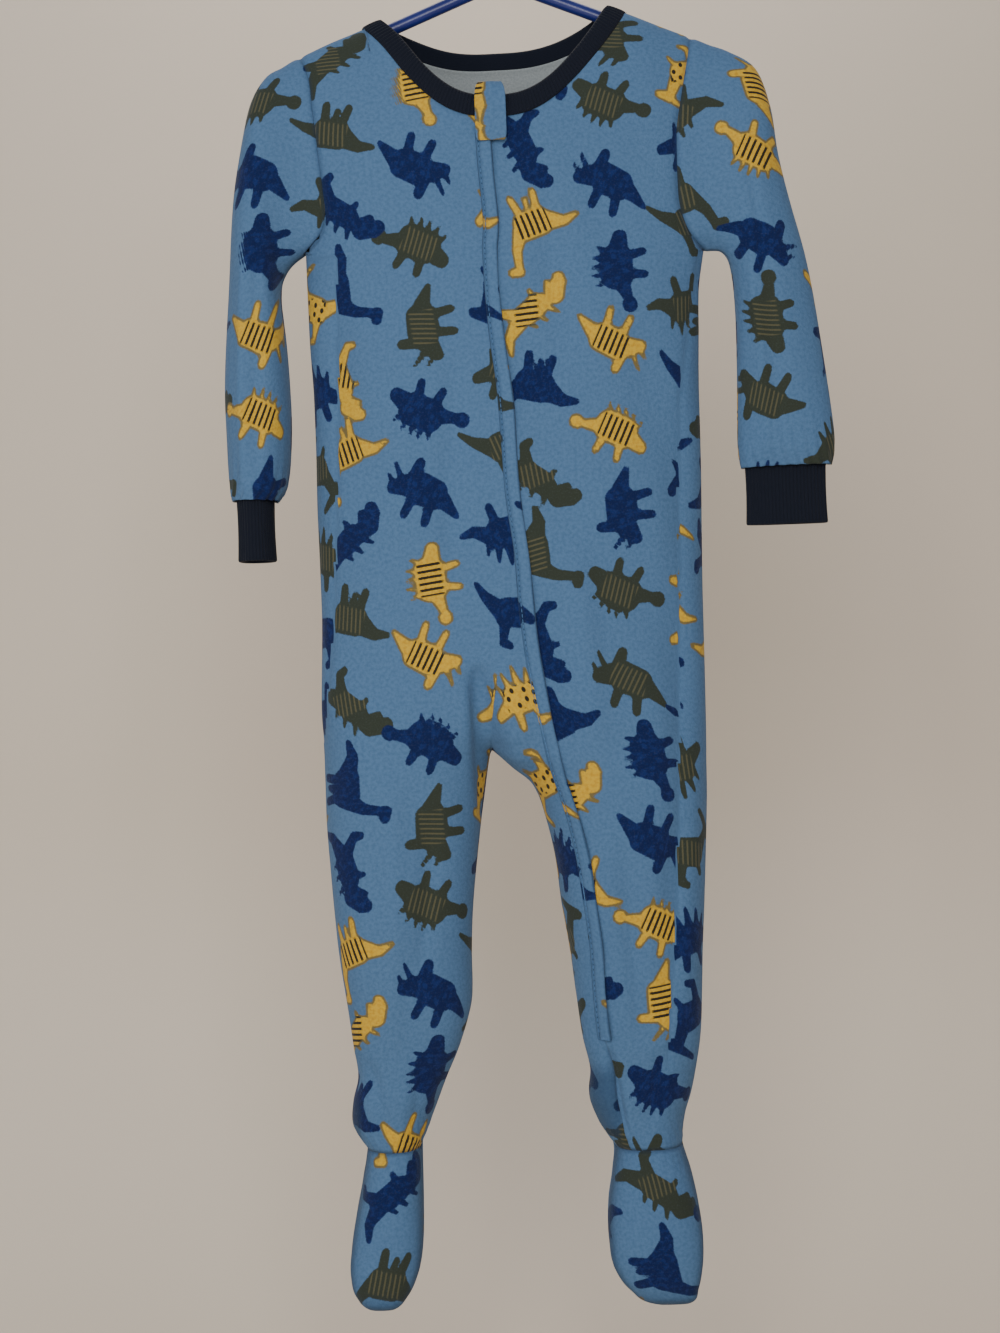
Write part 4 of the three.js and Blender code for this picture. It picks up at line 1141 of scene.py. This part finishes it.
inks = {
    "ground": (0.077, 0.157, 0.290, 1), "groundDeep": (0.057, 0.126, 0.240, 1),
    "navy": (0.004, 0.011, 0.060, 1), "navyLine": (0.008, 0.020, 0.100, 1),
    "olive": (0.030, 0.037, 0.027, 1), "oliveLine": (0.082, 0.078, 0.044, 1),
    "yellow": (0.56, 0.35, 0.035, 1), "yellowDeep": (0.44, 0.24, 0.02, 1),
    "mark": (0.02, 0.016, 0.01, 1), "wrong": (0.24, 0.27, 0.28, 1),
    # "seam" is the colour of the painted shade along seams, round the feet's rims, on the heels
    # and at the flap's edges
    "tip": (0.32, 0.42, 0.54, 1), "seam": (0.012, 0.03, 0.07, 1),
}


def fleeceMaterial():
    s = Shader("printedFleece")
    place = s.attribute("clothPlace", "Vector")
    motif = s.attribute("motifPlace", "Vector")
    node = s.make("SeparateXYZ", {}, motif).socket.node
    mx, my, kind = (Value(s, node.outputs[k]) for k in range(3))
    fuzz = s.noise(place, 1.3, 2.0) - 0.5
    soft = s.noise(place, 0.45, 2.0)
    # stripes on the back, or spots, and a mottled navy
    body = (my.math("ABSOLUTE") + fuzz * 2).ramp(6.0, 4.8) * mx.math("ABSOLUTE").ramp(11, 10)
    line = (mx * 2.1 + my * 0.5 + fuzz).math("SINE").ramp(0.2, 0.7) * body
    mottle = s.noise(motif, 0.35, 3.0, 0.6).ramp(0.45, 0.65)
    stripes = (mx * 1.7 + fuzz * 1.2).math("SINE").ramp(0.05, 0.35)
    spots = 1 - s.make("TexVoronoi", {"feature": "F1", "voronoi_dimensions": "2D"},
                       motif, None, 0.2).ramp(0.2, 0.3)
    spotted = kind.math("COMPARE", 1.0, 0.5)
    marks = (stripes * (1 - spotted) + spots * spotted) * body
    outline = (s.attribute("yellowInk") + fuzz * 0.7).ramp(-1.5, -0.8)
    ground = s.blend(soft.ramp(0.3, 0.75), inks["ground"], inks["groundDeep"])
    olive = s.blend(line, inks["olive"], inks["oliveLine"])
    navy = s.blend(mottle, inks["navy"], inks["navyLine"])
    yellow = s.blend(soft.ramp(0.35, 0.8), inks["yellow"], inks["yellowDeep"])
    yellow = s.blend(marks, yellow, inks["mark"])
    yellow = s.blend(outline * 0.85, yellow, inks["oliveLine"])
    colour = ground
    for key, ink in (("olive", olive), ("navy", navy), ("yellow", yellow)):
        mask = 1 - (s.attribute(key + "Ink") + fuzz * 1.1).ramp(-0.3, 0.35)
        colour = s.blend(mask, colour, ink)
    # painted shade: darker along seams, round the feet's rims, on the heels and at the flap's
    # edges
    colour = s.blend(s.attribute("paintedShade") * 0.7, colour, inks["seam"])
    # the brushed nap: short tufts, lighter on their tips
    tufts = s.noise(place, 0.85, 4.0, 0.65)
    fine = s.noise(place, 3.2, 3.0, 0.7)
    tipped = s.blend((tufts * 0.6 + fine * 0.4).ramp(0.5, 0.78) * 0.11, colour, inks["tip"])
    return s.finish({
        "Roughness": 0.95, "Sheen Weight": 0.1, "Sheen Roughness": 0.45,
        "Sheen Tint": (0.7, 0.82, 1, 1), "Specular IOR Level": 0.15,
    }, {"Base Color": tipped, "Normal": s.bump(tufts * 0.7 + fine * 0.3, 0.0009, 0.6)})


def wrongSideMaterial():
    s = Shader("fleeceInside")
    tufts = s.noise(s.attribute("clothPlace", "Vector"), 0.7, 4.0, 0.65)
    colour = s.blend(tufts.ramp(0.3, 0.75), inks["wrong"], (0.31, 0.34, 0.35, 1))
    colour = s.blend(s.attribute("atCorner"), colour, inks["ground"])
    return s.finish({"Roughness": 0.95, "Sheen Weight": 0.1, "Specular IOR Level": 0.15},
                    {"Base Color": colour, "Normal": s.bump(tufts, 0.0009, 0.7)})


def ribMaterial():
    s = Shader("ribKnit")
    place = s.attribute("clothPlace", "Vector")
    fibre = s.noise(place, 2.6, 3.0, 0.7)
    knit = (s.make("SeparateXYZ", {}, place, output=1) * 5.2).math("SINE")
    colour = s.blend(fibre.ramp(0.35, 0.8), (0.003, 0.0048, 0.011, 1), (0.008, 0.012, 0.026, 1))
    return s.finish({"Roughness": 0.9, "Sheen Weight": 0.04, "Specular IOR Level": 0.2},
                    {"Base Color": colour, "Normal": s.bump(fibre * 0.6 + knit * 0.12, 0.0004)})


def plasticMaterial():
    s = Shader("hangerPlastic")
    place = s.objectPlace()
    cloudy = s.noise(place, 60.0, 2.0)
    scuffs = s.noise(s.make("Mapping", {}, place, None, None, (900, 60, 60)), 1.0, 4.0)
    colour = s.blend(cloudy.ramp(0.3, 0.8), (0.008, 0.015, 0.12, 1), (0.011, 0.021, 0.16, 1))
    return s.finish({"Specular IOR Level": 0.35, "Coat Weight": 0.06},
                    {"Base Color": colour, "Roughness": scuffs * 0.12 + 0.3,
                     "Normal": s.bump(cloudy, 0.0003, 0.3)})


def threadMaterial(name, colour, darker, scale=1400.0):
    s = Shader(name)
    twist = s.noise(s.objectPlace(), scale, 3.0)
    return s.finish({"Roughness": 0.8, "Specular IOR Level": 0.25},
                    {"Base Color": s.blend(twist.ramp(0.3, 0.75), colour, darker),
                     "Normal": s.bump(twist, 0.0003, 0.6)})


fleece, inside, rib = fleeceMaterial(), wrongSideMaterial(), ribMaterial()
for made in clothPieces + [zipFlap, chinGuard]:
    made.data.materials.append(fleece)
for made in clothPieces:
    made.data.materials.append(inside)
for made in ribPieces:
    made.data.materials.append(rib)
hangerPiece.data.materials.append(plasticMaterial())
stitches.data.materials.append(threadMaterial(
    "stitchThread", (0.09, 0.2, 0.38, 1), (0.05, 0.13, 0.27, 1)))
tape = threadMaterial("zipTape", (0.12, 0.26, 0.44, 1), (0.08, 0.19, 0.35, 1), 900.0)
chain = threadMaterial("zipChain", (0.3, 0.42, 0.55, 1), (0.22, 0.33, 0.46, 1), 500.0)
for node, material in (("zip_tape", tape), ("zip_chain", chain)):
    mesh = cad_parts[node].data
    mesh.materials.clear()
    mesh.materials.append(material)
print("materials made")


def backdropMesh():
    # a pale floor that curves up into a wall behind the garment
    floorZ, wallY, bend = -1050, 750, 450
    arc = np.linspace(0, 1, 25) * math.pi / 2
    profile = np.concatenate([
        [(-3000, floorZ)],
        stack(wallY - bend + bend * np.sin(arc), floorZ + bend - bend * np.cos(arc)),
        [(wallY, 2200)]])
    x = np.array([-3000.0, 3000.0])
    points = stack(x[None, :], profile[:, :1], profile[:, 1:])
    return points.reshape(-1, 3), [gridFaces(len(profile), 2)]


backdrop = newObject("backdrop", *backdropMesh())
s = Shader("paleBackdrop")
grain = s.noise(s.objectPlace(), 3.0)
backdrop.data.materials.append(s.finish({"Roughness": 0.9, "Specular IOR Level": 0.1}, {
    "Base Color": s.blend(grain, (0.72, 0.63, 0.52, 1), (0.76, 0.67, 0.56, 1))}))

world = bpy.data.worlds.new("world")
bpy.context.scene.world = world
world.use_nodes = True
world.node_tree.nodes["Background"].inputs[0].default_value = (0.95, 0.96, 1, 1)
world.node_tree.nodes["Background"].inputs[1].default_value = 0.40


def softLight(name, place, target, size, power, colour=(1, 1, 1)):
    data = bpy.data.lights.new(name, "AREA")
    data.size = size
    data.energy = power
    data.color = colour
    made = bpy.data.objects.new(name, data)
    made.location = place
    made.rotation_euler = (Vector(target) - Vector(place)).to_track_quat("-Z", "Y").to_euler()
    bpy.context.scene.collection.objects.link(made)


softLight("keyLight", (-0.05, -1.7, 0.1), (0, 0, -0.45), 0.7, 20, (1, 0.98, 0.95))
softLight("fillLight", (-0.9, -1.3, -0.6), (0, 0, -0.5), 0.9, 7)
softLight("backLight", (0, 0.55, 0.6), (0, 0.2, -0.6), 0.8, 6)

shot = {"distance": 1.7, "x": -0.0157, "z": -0.5002, "height": 0.853, "roll": 2.0}
cameraData = bpy.data.cameras.new("camera")
cameraData.sensor_fit = "VERTICAL"
cameraData.sensor_height = 36
cameraData.lens = 36 * shot["distance"] / shot["height"]
camera = bpy.data.objects.new("camera", cameraData)
camera.matrix_world = (
    Matrix.Translation((shot["x"], -shot["distance"], shot["z"]))
    @ Matrix.Rotation(math.radians(90), 4, "X")
    @ Matrix.Rotation(math.radians(-shot["roll"]), 4, "Z"))
bpy.context.scene.collection.objects.link(camera)
bpy.context.scene.camera = camera
print("stage made")
